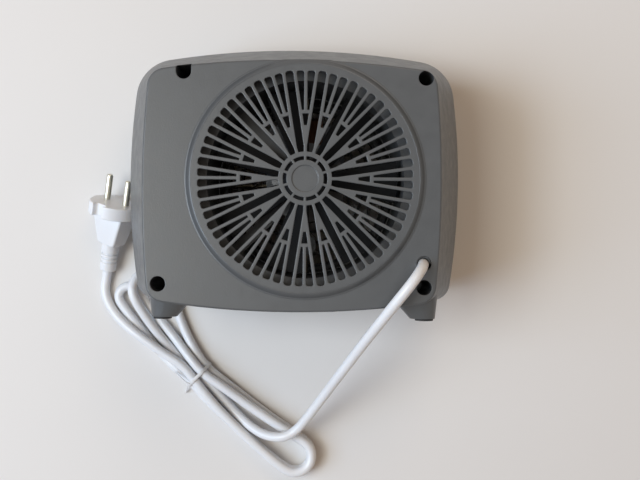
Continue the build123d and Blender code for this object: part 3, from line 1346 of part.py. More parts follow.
def make_plug():
    """Two-pin plug: notched round flange, tapered body and grooved collar in one moulding, and its pins."""
    pin_places = [(-PIN_SPACING / 2, 0), (PIN_SPACING / 2, 0)]
    body_start = -FLANGE_DEPTH
    collar_start = body_start - PLUG_BODY_LENGTH
    with BuildPart() as plug:
        with BuildSketch(plug_plane(body_start)):
            Circle(FLANGE_RADIUS)
        extrude(amount=FLANGE_DEPTH)
        chamfer(plug.edges().filter_by(GeomType.CIRCLE), length=FLANGE_CHAMFER)
        with BuildSketch(plug_plane(body_start)):
            with Locations((0, -FLANGE_RADIUS), (0, FLANGE_RADIUS)):
                RectangleRounded(SIDE_NOTCH_WIDTH, 2 * SIDE_NOTCH_DEPTH, SIDE_NOTCH_ROUND)
        extrude(amount=FLANGE_DEPTH, mode=Mode.SUBTRACT)
        with BuildSketch(plug_plane(body_start)):
            Polygon(*cut_cornered_rectangle(PLUG_BODY_WIDTH, PLUG_BODY_HEIGHT, PLUG_BODY_CORNER), align=None)
        with BuildSketch(plug_plane(collar_start)):
            Polygon(*cut_cornered_rectangle(PLUG_NECK_WIDTH, PLUG_NECK_HEIGHT, PLUG_BODY_CORNER), align=None)
        loft(ruled=True)
        with BuildSketch(plug_plane(collar_start)):
            Circle(COLLAR_RADIUS)
        taper = math.degrees(math.atan((COLLAR_RADIUS - COLLAR_END_RADIUS) / COLLAR_LENGTH))
        extrude(amount=-COLLAR_LENGTH, taper=taper)
        for groove in range(COLLAR_GROOVES):
            groove_start = collar_start - COLLAR_GROOVE_START - groove * COLLAR_GROOVE_STEP
            with BuildSketch(plug_plane(groove_start)):
                Circle(2 * COLLAR_RADIUS)
                Circle(COLLAR_END_RADIUS - COLLAR_GROOVE_DEPTH, mode=Mode.SUBTRACT)
            extrude(amount=COLLAR_GROOVE_WIDTH, mode=Mode.SUBTRACT)
        with BuildSketch(plug_plane(-PIN_ROOT)):
            with Locations(*pin_places):
                Circle(PIN_RADIUS)
        extrude(amount=PIN_ROOT, mode=Mode.SUBTRACT)
    save(plug.part, "plug_body")
    with BuildPart() as pins:
        with BuildSketch(plug_plane(-PIN_ROOT)):
            with Locations(*pin_places):
                Circle(PIN_RADIUS)
        extrude(amount=PIN_ROOT + PIN_LENGTH)
        chamfer(pins.edges().group_by(Axis(flange_face(), plug_axes()[1]))[-1], length=PIN_TIP_CHAMFER)
    save(pins.part, "plug_pins")


def main():
    """Build and write every piece."""
    os.makedirs("parts", exist_ok=True)
    make_rear_shell()
    make_front_shell()
    make_outlet_grille()
    make_foot_pads()
    make_case_screws()
    make_cord_clamp()
    make_terminal_block()
    make_fan_duct()
    make_motor_stator()
    make_motor_coil()
    make_motor_bracket("motor_bracket_rear", REAR_STRAP_Z, 1)
    make_motor_bracket("motor_bracket_front", FRONT_STRAP_Z + BRACKET_THICKNESS, -1)
    make_motor_bearing("motor_bearing_rear", REAR_STRAP_Z, 1)
    make_motor_bearing("motor_bearing_front", FRONT_STRAP_Z + BRACKET_THICKNESS, -1)
    make_motor_screws()
    make_rotor_and_shaft()
    make_fan_impeller()
    make_heater_ring()
    make_heater_board("heater_board_level", (1, 0), True)
    make_heater_board("heater_board_upright", (0, 1), False)
    make_heating_ribbons()
    make_thermal_cutout()
    make_knob("thermostat", THERMOSTAT_Y)
    make_knob("selector", SELECTOR_Y)
    make_control_bodies()
    make_pilot_lamp()
    make_inner_wires()
    make_lead()
    make_cord_tie()
    make_plug()


main()
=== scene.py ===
"""Looks of a compact fan heater lying on its front, with its lead folded into a tied hank.

Metres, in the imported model's frame: +Z out of the heater's back, +Y to its top, +X to the right
from the back.
"""

from __future__ import annotations

import json
import logging
import math
from abc import ABC, abstractmethod
from collections.abc import Callable, Iterator
from contextlib import contextmanager
from dataclasses import dataclass
from enum import Enum
from itertools import pairwise

import bpy
from mathutils import Matrix, Vector

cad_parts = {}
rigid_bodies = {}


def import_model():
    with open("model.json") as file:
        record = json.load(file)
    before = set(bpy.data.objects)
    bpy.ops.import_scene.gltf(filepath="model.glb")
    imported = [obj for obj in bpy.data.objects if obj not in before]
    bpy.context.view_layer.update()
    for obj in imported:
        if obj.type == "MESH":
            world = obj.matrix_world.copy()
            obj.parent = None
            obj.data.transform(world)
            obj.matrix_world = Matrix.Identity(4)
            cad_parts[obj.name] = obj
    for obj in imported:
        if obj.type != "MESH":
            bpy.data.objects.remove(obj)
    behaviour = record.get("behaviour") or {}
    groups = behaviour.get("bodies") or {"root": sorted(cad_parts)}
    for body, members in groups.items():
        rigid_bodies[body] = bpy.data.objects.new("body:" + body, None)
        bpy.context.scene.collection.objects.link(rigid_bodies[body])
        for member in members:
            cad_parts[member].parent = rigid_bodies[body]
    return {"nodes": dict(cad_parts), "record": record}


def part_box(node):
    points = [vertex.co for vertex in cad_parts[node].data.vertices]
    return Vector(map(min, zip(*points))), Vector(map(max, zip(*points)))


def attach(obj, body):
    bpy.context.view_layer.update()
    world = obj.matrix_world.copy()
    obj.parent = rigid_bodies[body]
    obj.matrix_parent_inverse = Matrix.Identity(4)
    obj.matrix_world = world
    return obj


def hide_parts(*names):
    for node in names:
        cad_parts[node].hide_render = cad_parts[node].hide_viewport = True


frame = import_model()

LOG = logging.getLogger("heater")
Point = tuple[float, float, float]
Colour = tuple[float, float, float]
Ring = tuple[float, float]  # height and radius
Strand = tuple[float, float]  # place across the waist, and height
Piece = bpy.types.Object
Face = bpy.types.MeshPolygon
Material = bpy.types.Material
Socket = bpy.types.NodeSocket


class Body(Enum):
    """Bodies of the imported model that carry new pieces."""

    HEATER = "heater"
    THERMOSTAT = "thermostat"
    SELECTOR = "selector"


class Pattern(Enum):
    """Kinds of relief that a metal can carry."""

    GRAIN = "grain"
    TURNED = "turned"
    LAMINATED = "laminated"
    FLAKED = "flaked"


class Pick(Enum):
    """Parts of a mesh that an edit picks from."""

    FACES = "FACE"
    EDGES = "EDGE"


# Materials

PATTERN_LOW = 0.3
PATTERN_HIGH = 0.7


def shade(colour: Colour, factor: float) -> Colour:
    """A colour made lighter or darker by a factor."""
    return tuple(min(1.0, channel * factor) for channel in colour)


class Graph:
    """Node tree of one material that ends in a Principled shader."""

    def __init__(self, name: str) -> None:
        """Make the material with its shader and its object coordinates.

        Args:
            name: The material's name.
        """
        self.material = bpy.data.materials.new(name)
        self.material.use_nodes = True
        self.tree = self.material.node_tree
        self.tree.nodes.clear()
        output = self.add("ShaderNodeOutputMaterial")
        self.shader = self.add("ShaderNodeBsdfPrincipled")
        self.link(self.shader.outputs["BSDF"], output.inputs["Surface"])
        self.coordinates = self.add("ShaderNodeTexCoord").outputs["Object"]

    def add(self, kind: str, **settings: object) -> bpy.types.Node:
        """Add a node.

        Args:
            kind: The node's type.
            settings: Properties to set on it.

        Returns:
            The new node.
        """
        node = self.tree.nodes.new(kind)
        for key, value in settings.items():
            setattr(node, key, value)
        return node

    def link(self, source: Socket, target: Socket) -> None:
        """Join two sockets."""
        self.tree.links.new(source, target)

    def set(self, socket: str, value: object) -> None:
        """Set a plain value on the shader."""
        self.shader.inputs[socket].default_value = value

    def drive(self, socket: str, source: Socket) -> None:
        """Link a pattern to one of the shader's sockets."""
        self.link(source, self.shader.inputs[socket])

    def noise(self, size: float, detail: float = 3.0, stretch: Point = (1.0, 1.0, 1.0)) -> Socket:
        """Noise with features of a given size.

        Args:
            size: Size of the features, in metres.
            detail: Octaves of finer noise.
            stretch: Factors along X, Y and Z.

        Returns:
            The noise, from 0 to 1.
        """
        mapping = self.add("ShaderNodeMapping")
        self.link(self.coordinates, mapping.inputs["Vector"])
        mapping.inputs["Scale"].default_value = stretch
        noise = self.add("ShaderNodeTexNoise")
        noise.inputs["Scale"].default_value = 1 / size
        noise.inputs["Detail"].default_value = detail
        self.link(mapping.outputs["Vector"], noise.inputs["Vector"])
        return noise.outputs["Fac"]

    def cells(self, size: float) -> Socket:
        """Distance to the nearest point of a random cell pattern.

        Args:
            size: Size of the cells, in metres.

        Returns:
            The distance in cells.
        """
        cells = self.add("ShaderNodeTexVoronoi")
        cells.inputs["Scale"].default_value = 1 / size
        self.link(self.coordinates, cells.inputs["Vector"])
        return cells.outputs["Distance"]

    def lines(self, pitch: float, axis: str, wobble: float = 0.3) -> Socket:
        """Fine parallel lines.

        Args:
            pitch: Distance from line to line, in metres.
            axis: Axis across the lines, X, Y or Z.
            wobble: How far the lines wander.

        Returns:
            The lines, from 0 to 1.
        """
        wave = self.add("ShaderNodeTexWave", bands_direction=axis)
        wave.inputs["Scale"].default_value = math.pi / (10 * pitch)
        wave.inputs["Distortion"].default_value = wobble
        self.link(self.coordinates, wave.inputs["Vector"])
        return wave.outputs["Fac"]

    def colour(self, pattern: Socket, colour: Colour, dark: float, light: float = 1.0) -> None:
        """Colour the surface between two shades of a colour.

        Args:
            pattern: Where the colour lies between them.
            colour: The colour.
            dark: Factor of the darker shade.
            light: Factor of the lighter shade.
        """
        ramp = self.add("ShaderNodeValToRGB")
        for index, (place, factor) in enumerate(((PATTERN_LOW, dark), (PATTERN_HIGH, light))):
            ramp.color_ramp.elements[index].position = place
            ramp.color_ramp.elements[index].color = (*shade(colour, factor), 1.0)
        self.link(pattern, ramp.inputs["Fac"])
        self.drive("Base Color", ramp.outputs["Color"])

    def roughness(self, pattern: Socket, low: float, high: float) -> None:
        """Spread the surface's roughness over a pattern.

        Args:
            pattern: Where the roughness lies in its range.
            low: Roughness where the pattern is low.
            high: Roughness where it is high.
        """
        spread = self.add("ShaderNodeMapRange")
        spread.inputs["From Min"].default_value = PATTERN_LOW
        spread.inputs["From Max"].default_value = PATTERN_HIGH
        spread.inputs["To Min"].default_value = low
        spread.inputs["To Max"].default_value = high
        self.link(pattern, spread.inputs["Value"])
        self.drive("Roughness", spread.outputs["Result"])

    def relief(self, height: Socket, depth: float, strength: float = 1.0) -> None:
        """Press a pattern into the surface, on top of what is there already.

        Args:
            height: The pattern.
            depth: Its depth, in metres.
            strength: How strongly it shows.
        """
        bump = self.add("ShaderNodeBump")
        bump.inputs["Strength"].default_value = strength
        bump.inputs["Distance"].default_value = depth
        self.link(height, bump.inputs["Height"])
        if self.shader.inputs["Normal"].links:
            self.link(self.shader.inputs["Normal"].links[0].from_socket, bump.inputs["Normal"])
        self.drive("Normal", bump.outputs["Normal"])

    def round_edges(self, radius: float) -> None:
        """Shade the piece's edges as if they were rounded.

        Args:
            radius: Radius of the rounding, in metres.
        """
        bevel = self.add("ShaderNodeBevel", samples=6)
        bevel.inputs["Radius"].default_value = radius
        self.drive("Normal", bevel.outputs["Normal"])


@dataclass(frozen=True)
class Finish(ABC):
    """Look of one of the heater's surfaces."""

    name: str
    colour: Colour

    @abstractmethod
    def draw(self, graph: Graph) -> None:
        """Draw the finish in a material's node tree."""

    def build(self) -> Material:
        """Make the material.

        Returns:
            The material.
        """
        graph = Graph(self.name)
        self.draw(graph)
        return graph.material


@dataclass(frozen=True)
class Plastic(Finish):
    """Moulded plastic or rubber with a fine spark-eroded grain."""

    roughness: float = 0.5
    grain: float = 0.0006
    depth: float = 0.00004
    mottle: float = 0.06
    cloud: float = 0.03
    specular: float = 0.5
    edge: float = 0.0
    gloss_range: float = 0.05
    pebble_grains: float = 2.2
    pebble_share: float = 0.6
    pebble_strength: float = 0.5

    def draw(self, graph: Graph) -> None:
        """Draw the grain and mottle.

        Args:
            graph: The material's node tree.
        """
        if self.edge:
            graph.round_edges(self.edge)
        clouds = graph.noise(self.cloud, detail=4.0)
        graph.colour(clouds, self.colour, dark=1 - self.mottle, light=1 + self.mottle)
        low, high = self.roughness - self.gloss_range, self.roughness + self.gloss_range
        graph.roughness(graph.noise(self.cloud / 4, detail=5.0), low, high)
        graph.set("Specular IOR Level", self.specular)
        graph.relief(graph.noise(self.grain, detail=2.0), self.depth)
        pebbles = graph.cells(self.pebble_grains * self.grain)
        graph.relief(pebbles, self.depth * self.pebble_share, self.pebble_strength)


@dataclass(frozen=True)
class SoftPvc(Finish):
    """Smooth soft PVC, faintly wavy from the mould or the extruder."""

    roughness: float = 0.34
    ripple: float = 0.004
    depth: float = 0.00006
    cloud: float = 0.02
    smear: float = 0.006
    scatter_weight: float = 0.35
    scatter_depth: Point = (0.003, 0.0027, 0.0025)
    coat: float = 0.12
    coat_roughness: float = 0.28
    skin: float = 0.0004
    skin_depth: float = 0.000012

    def draw(self, graph: Graph) -> None:
        """Draw the ripple and skin.

        Args:
            graph: The material's node tree.
        """
        graph.colour(graph.noise(self.cloud), self.colour, dark=0.965, light=1.02)
        smears = graph.noise(self.smear, detail=4.0)
        graph.roughness(smears, low=self.roughness - 0.05, high=self.roughness + 0.07)
        graph.set("Subsurface Weight", self.scatter_weight)
        graph.set("Subsurface Radius", self.scatter_depth)
        graph.set("Subsurface Scale", 1.0)
        graph.set("Coat Weight", self.coat)
        graph.set("Coat Roughness", self.coat_roughness)
        graph.relief(graph.noise(self.ripple, detail=2.0), self.depth, strength=0.7)
        graph.relief(graph.noise(self.skin, detail=2.0), self.skin_depth, strength=0.6)


@dataclass(frozen=True)
class Metal(Finish):
    """Bare or plated metal with a brushed, turned or laminated surface."""

    roughness: float = 0.3
    pattern: Pattern = Pattern.GRAIN
    pitch: float = 0.0003
    depth: float = 0.00002
    tarnish: float = 0.006
    smear: float = 0.002
    turned_stretch: Point = (1.0, 0.05, 1.0)

    def draw(self, graph: Graph) -> None:
        """Draw the tarnish and relief.

        Args:
            graph: The material's node tree.
        """
        tarnish = graph.noise(self.tarnish, detail=5.0)
        graph.colour(tarnish, self.colour, dark=0.82, light=1.06)
        smears = graph.noise(self.smear, detail=4.0)
        graph.roughness(smears, low=self.roughness - 0.07, high=self.roughness + 0.1)
        graph.set("Metallic", 1.0)
        if self.pattern is Pattern.TURNED:
            height = graph.noise(self.pitch, stretch=self.turned_stretch)
        elif self.pattern is Pattern.LAMINATED:
            height = graph.lines(self.pitch, axis="Z")
        elif self.pattern is Pattern.FLAKED:
            height = graph.cells(self.pitch)
        else:
            height = graph.noise(self.pitch, detail=4.0)
        graph.relief(height, self.depth)


@dataclass(frozen=True)
class Winding(Finish):
    """Enamelled wire wound in close turns, with painted shade in the grooves between them."""

    wire: float = 0.0004
    wobble: float = 0.6
    roughness: float = 0.32
    metallic: float = 0.6

    def draw(self, graph: Graph) -> None:
        """Draw the turns.

        Args:
            graph: The material's node tree.
        """
        turns = graph.lines(self.wire, axis="X", wobble=self.wobble)
        # The grooves between turns are painted darker (painted shade); the same pattern presses
        # them in below.
        graph.colour(turns, self.colour, dark=0.45)
        graph.set("Roughness", self.roughness)
        graph.set("Metallic", self.metallic)
        graph.relief(turns, self.wire / 2)


@dataclass(frozen=True)
class Mica(Finish):
    """Pressed mica board with flakes of uneven tone."""

    flake: float = 0.0016
    smear: float = 0.001
    depth: float = 0.00005

    def draw(self, graph: Graph) -> None:
        """Draw the flakes.

        Args:
            graph: The material's node tree.
        """
        flakes = graph.cells(self.flake)
        graph.colour(flakes, self.colour, dark=0.72, light=1.08)
        graph.roughness(graph.noise(self.smear), low=0.35, high=0.6)
        graph.relief(flakes, self.depth)


@dataclass(frozen=True)
class Lens(Finish):
    """Clear tinted plastic of the pilot lamp."""

    cloud: float = 0.003
    roughness: float = 0.12
    transmission: float = 0.45
    index: float = 1.49
    facet: float = 0.0009
    depth: float = 0.00008

    def draw(self, graph: Graph) -> None:
        """Draw the facets.

        Args:
            graph: The material's node tree.
        """
        graph.colour(graph.noise(self.cloud), self.colour, dark=0.85)
        graph.set("Roughness", self.roughness)
        graph.set("Transmission Weight", self.transmission)
        graph.set("IOR", self.index)
        graph.relief(graph.cells(self.facet), self.depth, strength=0.6)


@dataclass(frozen=True)
class Tabletop(Finish):
    """Pale smooth tabletop."""

    cloud: float = 0.25
    roughness: float = 0.55
    specular: float = 0.25
    grain: float = 0.002
    depth: float = 0.00001

    def draw(self, graph: Graph) -> None:
        """Draw the faint clouds.

        Args:
            graph: The material's node tree.
        """
        graph.colour(graph.noise(self.cloud), self.colour, dark=0.985, light=1.01)
        graph.set("Roughness", self.roughness)
        graph.set("Specular IOR Level", self.specular)
        graph.relief(graph.noise(self.grain), self.depth, strength=0.5)


FINISHES: dict[str, Finish] = {
    "shell_grey": Plastic(
        "grained grey shell",
        (0.060, 0.064, 0.068),
        roughness=0.38,
        grain=0.0007,
        depth=0.00005,
        mottle=0.035,
        specular=0.7,
        edge=0.0009,
    ),
    "grille_black": Plastic("black outlet plastic", (0.012, 0.012, 0.013), roughness=0.45),
    "rubber_black": Plastic(
        "black foot rubber", (0.014, 0.014, 0.015), roughness=0.75, grain=0.0004, depth=0.00006
    ),
    "screw_steel": Metal("zinc plated screw", (0.22, 0.22, 0.225), roughness=0.45),
    "inner_grey": Plastic("grey inner plastic", (0.085, 0.088, 0.092), roughness=0.6),
    "inner_cream": Plastic(
        "cream terminal plastic", (0.4, 0.36, 0.27), roughness=0.45, grain=0.0005
    ),
    # Darker than bare laminated steel: painted shade for the dark inside of the housing behind the
    # grille.
    "lamination_steel": Metal(
        "laminated steel in painted shade",
        (0.07, 0.07, 0.075),
        roughness=0.5,
        pattern=Pattern.LAMINATED,
        pitch=0.0005,
        depth=0.00008,
    ),
    # Much darker than bare copper: painted shade for the dark inside of the housing behind the
    # grille.
    "coil_winding": Winding("copper winding in painted shade", (0.10, 0.035, 0.015)),
    # Darker than bare pressed steel: painted shade for the dark inside of the housing behind the
    # grille.
    "bracket_steel": Metal(
        "pressed steel in painted shade",
        (0.12, 0.12, 0.12),
        roughness=0.45,
        pattern=Pattern.FLAKED,
        pitch=0.0014,
        depth=0.00003,
    ),
    "bearing_bronze": Metal(
        "sintered bronze", (0.2, 0.12, 0.05), roughness=0.55, pitch=0.0002, depth=0.00004
    ),
    "shaft_steel": Metal("turned steel", (0.3, 0.3, 0.31), pattern=Pattern.TURNED),
    "mica_board": Mica("mica board", (0.3, 0.25, 0.16)),
    "ribbon_alloy": Metal("oxidised heating alloy", (0.16, 0.14, 0.13), roughness=0.5),
    "lamp_lens": Lens("red lamp lens", (0.6, 0.03, 0.015)),
    "fan_black": Plastic(
        "black fan plastic", (0.008, 0.008, 0.009), roughness=0.6, specular=0.3
    ),
    "knob_black": Plastic(
        "black knob plastic", (0.02, 0.02, 0.022), roughness=0.4, grain=0.0004
    ),
    "cord_white": SoftPvc("white soft pvc", (0.78, 0.80, 0.83)),
    "tie_white": SoftPvc(
        "white tie plastic", (0.72, 0.73, 0.74), roughness=0.4, ripple=0.001, depth=0.00003
    ),
    "pin_brass": Metal(
        "nickel plated pin",
        (0.66, 0.63, 0.53),
        roughness=0.34,
        pattern=Pattern.TURNED,
        pitch=0.0004,
        depth=0.00001,
    ),
    "wire_brown": SoftPvc(
        "brown wire sleeve", (0.06, 0.03, 0.015), roughness=0.4, ripple=0.002, depth=0.00002
    ),
    "wire_blue": SoftPvc(
        "blue wire sleeve", (0.02, 0.06, 0.2), roughness=0.4, ripple=0.002, depth=0.00002
    ),
}


class Finishes:
    """Makes each slot's material once and dresses pieces with it."""

    def __init__(self) -> None:
        """Start with no material made."""
        self.made: dict[str, Material] = {}

    def material(self, slot: str) -> Material:
        """Material of a slot.

        Args:
            slot: The record's name for the finish.

        Returns:
            The material, made on first use.
        """
        if slot not in self.made:
            self.made[slot] = FINISHES[slot].build()
        return self.made[slot]

    def dress_nodes(self) -> None:
        """Give every carried-over CAD node its slot's material."""
        for part in frame["record"]["subparts"]:
            node = frame["nodes"][part["node"]]
            if not node.material_slots:
                node.data.materials.append(None)
            for place in node.material_slots:
                place.material = self.material(part["material_slot"])

    def dress(self, piece: Piece, slot: str, *replaced: str, body: Body = Body.HEATER) -> None:
        """Give a new piece a slot's material and its place in the model.

        Args:
            piece: The piece.
            slot: The record's name for the finish.
            replaced: The CAD nodes that the piece stands for.
            body: The body that it moves with.
        """
        piece.data.materials.clear()
        piece.data.materials.append(self.material(slot))
        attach(piece, body.value)
        if replaced:
            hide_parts(*replaced)


# Modelling helpers

LEVEL = 0.9  # least upright share of the normal of a face that counts as level
MERGE = 0.000001  # distance at which vertices are one


def select_only(piece: Piece) -> None:
    """Deselect everything, then select a piece and make it the active one.

    Args:
        piece: The piece.
    """
    for other in bpy.context.view_layer.objects:
        other.select_set(False)
    piece.select_set(True)
    bpy.context.view_layer.objects.active = piece


@contextmanager
def editing(
    piece: Piece, wanted: Callable[..., bool] | None = None, pick: Pick = Pick.FACES
) -> Iterator[None]:
    """Edit a piece with some of its faces or edges selected.

    Args:
        piece: The piece.
        wanted: Test of a face or edge by its place or normal, or None to select everything.
        pick: Whether faces or edges are selected.

    Yields:
        Nothing, while the piece is in edit mode.
    """
    select_only(piece)
    bpy.ops.object.mode_set(mode="EDIT")
    bpy.ops.mesh.select_mode(type=pick.value)
    bpy.ops.mesh.select_all(action="DESELECT" if wanted else "SELECT")
    if wanted:
        bpy.ops.object.mode_set(mode="OBJECT")
        for item in piece.data.polygons if pick is Pick.FACES else piece.data.edges:
            item.select = wanted(item)
        bpy.ops.object.mode_set(mode="EDIT")
    yield
    bpy.ops.object.mode_set(mode="OBJECT")


def facing_up(face: Face) -> bool:
    """Whether a face points along +Z."""
    return face.normal.z > LEVEL


def facing_down(face: Face) -> bool:
    """Whether a face points along -Z."""
    return face.normal.z < -LEVEL


def extrude(distance: float) -> None:
    """Extrude what is selected along Z."""
    bpy.ops.mesh.extrude_region_move(TRANSFORM_OT_translate={"value": (0, 0, distance)})


def widen(x: float, y: float) -> None:
    """Scale what is selected along X and Y."""
    bpy.ops.transform.resize(value=(x, y, 1))


def extrude_through(rings: list[Ring]) -> None:
    """Extrude the selected ring, which is the first one, to every other ring.

    Args:
        rings: Height and radius of each ring.
    """
    for (height, radius), (next_height, next_radius) in pairwise(rings):
        extrude(next_height - height)
        widen(next_radius / radius, next_radius / radius)


def apply_modifier(piece: Piece, kind: str, **settings: object) -> None:
    """Add a modifier to a piece and apply it.

    Args:
        piece: The piece.
        kind: The modifier's type.
        settings: Properties to set on it.
    """
    select_only(piece)
    modifier = piece.modifiers.new(kind.lower(), kind)
    for key, value in settings.items():
        setattr(modifier, key, value)
    bpy.ops.object.modifier_apply(modifier=modifier.name)


def bevel(piece: Piece, width: float, segments: int, degrees: float) -> None:
    """Round a piece's edges that are sharper than an angle."""
    settings = {"limit_method": "ANGLE", "angle_limit": math.radians(degrees)}
    apply_modifier(piece, "BEVEL", width=width, segments=segments, **settings)


def place(piece: Piece, matrix: Matrix) -> None:
    """Move a piece to its place and leave that place in its mesh.

    Args:
        piece: The piece, at the origin.
        matrix: Its place in the model's frame.
    """
    piece.matrix_world = matrix
    select_only(piece)
    bpy.ops.object.transform_apply(location=True, rotation=True, scale=True)


def smooth(piece: Piece, degrees: float = 35.0) -> None:
    """Shade a piece smooth across edges flatter than an angle."""
    select_only(piece)
    bpy.ops.object.shade_smooth_by_angle(angle=math.radians(degrees))


def added(name: str) -> Piece:
    """Name the primitive that was just added.

    Args:
        name: Its new name.

    Returns:
        The primitive, with its place applied.
    """
    piece = bpy.context.active_object
    piece.name = name
    select_only(piece)
    bpy.ops.object.transform_apply(location=True, rotation=True, scale=True)
    return piece


def cylinder(name: str, radius: float, depth: float, centre: Point, vertices: int) -> Piece:
    """Plain cylinder along Z, with its middle at a point."""
    bpy.ops.mesh.primitive_cylinder_add(
        vertices=vertices, radius=radius, depth=depth, location=centre
    )
    return added(name)


def box(name: str, size: Point, centre: Point) -> Piece:
    """Plain box.

    Args:
        name: The piece's name.
        size: Its size along X, Y and Z.
        centre: Its middle.

    Returns:
        The box.
    """
    bpy.ops.mesh.primitive_cube_add(size=1, location=centre)
    bpy.context.active_object.scale = size
    return added(name)


def round_upright_edges(piece: Piece, radius: float, segments: int) -> None:
    """Round a box's edges that run along Z.

    Args:
        piece: The box.
        radius: Offset of the rounding.
        segments: Faces across it.
    """

    def upright(edge: bpy.types.MeshEdge) -> bool:
        """Whether an edge runs along Z."""
        first, second = (piece.data.vertices[index].co for index in edge.vertices)
        return (first - second).xy.length < radius / 2

    with editing(piece, upright, Pick.EDGES):
        bpy.ops.mesh.bevel(offset=radius, segments=segments)


def extruded_rings(name: str, rings: list[Ring], vertices: int) -> Piece:
    """Round piece along Z, extruded ring by ring from its first end.

    Args:
        name: The piece's name.
        rings: Height and radius of each ring.
        vertices: Vertices round a ring.

    Returns:
        The closed piece.
    """
    height, radius = rings[0]
    bpy.ops.mesh.primitive_circle_add(
        vertices=vertices, radius=radius, fill_type="NGON", location=(0, 0, height)
    )
    piece = added(name)
    with editing(piece):
        extrude_through(rings)
        bpy.ops.mesh.select_all(action="SELECT")
        bpy.ops.mesh.normals_make_consistent(inside=False)
    return piece


def curve_through(name: str, points: list[Vector], **settings: object) -> Piece:
    """Curve of one open spline.

    Args:
        name: The piece's name.
        points: The spline's control points.
        settings: Properties to set on the curve.

    Returns:
        The piece, still a curve.
    """
    curve = bpy.data.curves.new(name, "CURVE")
    curve.dimensions = "3D"
    for key, value in settings.items():
        setattr(curve, key, value)
    spline = curve.splines.new("NURBS")
    spline.points.add(len(points) - 1)
    for control, point in zip(spline.points, points):
        control.co = (*point, 1.0)
    spline.order_u = 3
    spline.use_endpoint_u = True
    piece = bpy.data.objects.new(name, curve)
    bpy.context.scene.collection.objects.link(piece)
    return piece


def join(pieces: list[Piece]) -> Piece:
    """Join pieces into the first one.

    Args:
        pieces: The pieces.

    Returns:
        The first piece, which now holds all.
    """
    select_only(pieces[0])
    for piece in pieces[1:]:
        piece.select_set(True)
    bpy.ops.object.join()
    return pieces[0]


def combine(piece: Piece, other: Piece, operation: str) -> None:
    """Cut another piece from a piece, or weld it on, and remove the other."""
    apply_modifier(piece, "BOOLEAN", object=other, operation=operation, solver="EXACT")
    bpy.data.objects.remove(other, do_unlink=True)


def copied(piece: Piece, name: str) -> Piece:
    """Copy a piece with a mesh of its own.

    Args:
        piece: The piece.
        name: The copy's name.

    Returns:
        The copy.
    """
    copy = piece.copy()
    copy.data = piece.data.copy()
    copy.name = name
    bpy.context.scene.collection.objects.link(copy)
    return copy


# Stage


@dataclass(frozen=True)
class Lamp:
    """Square soft lamp that faces the heater."""

    name: str
    place: Point
    size: float
    power: float
    colour: Colour
    target: Point = (0.0, -0.03, 0.05)

    def build(self) -> None:
        """Hang the lamp."""
        data = bpy.data.lights.new(self.name, "AREA")
        data.shape = "SQUARE"
        data.size = self.size
        data.energy = self.power
        data.color = self.colour
        lamp = bpy.data.objects.new(self.name, data)
        lamp.location = self.place
        aim = Vector(self.target) - Vector(self.place)
        lamp.rotation_euler = aim.to_track_quat("-Z", "Y").to_euler()
        bpy.context.scene.collection.objects.link(lamp)


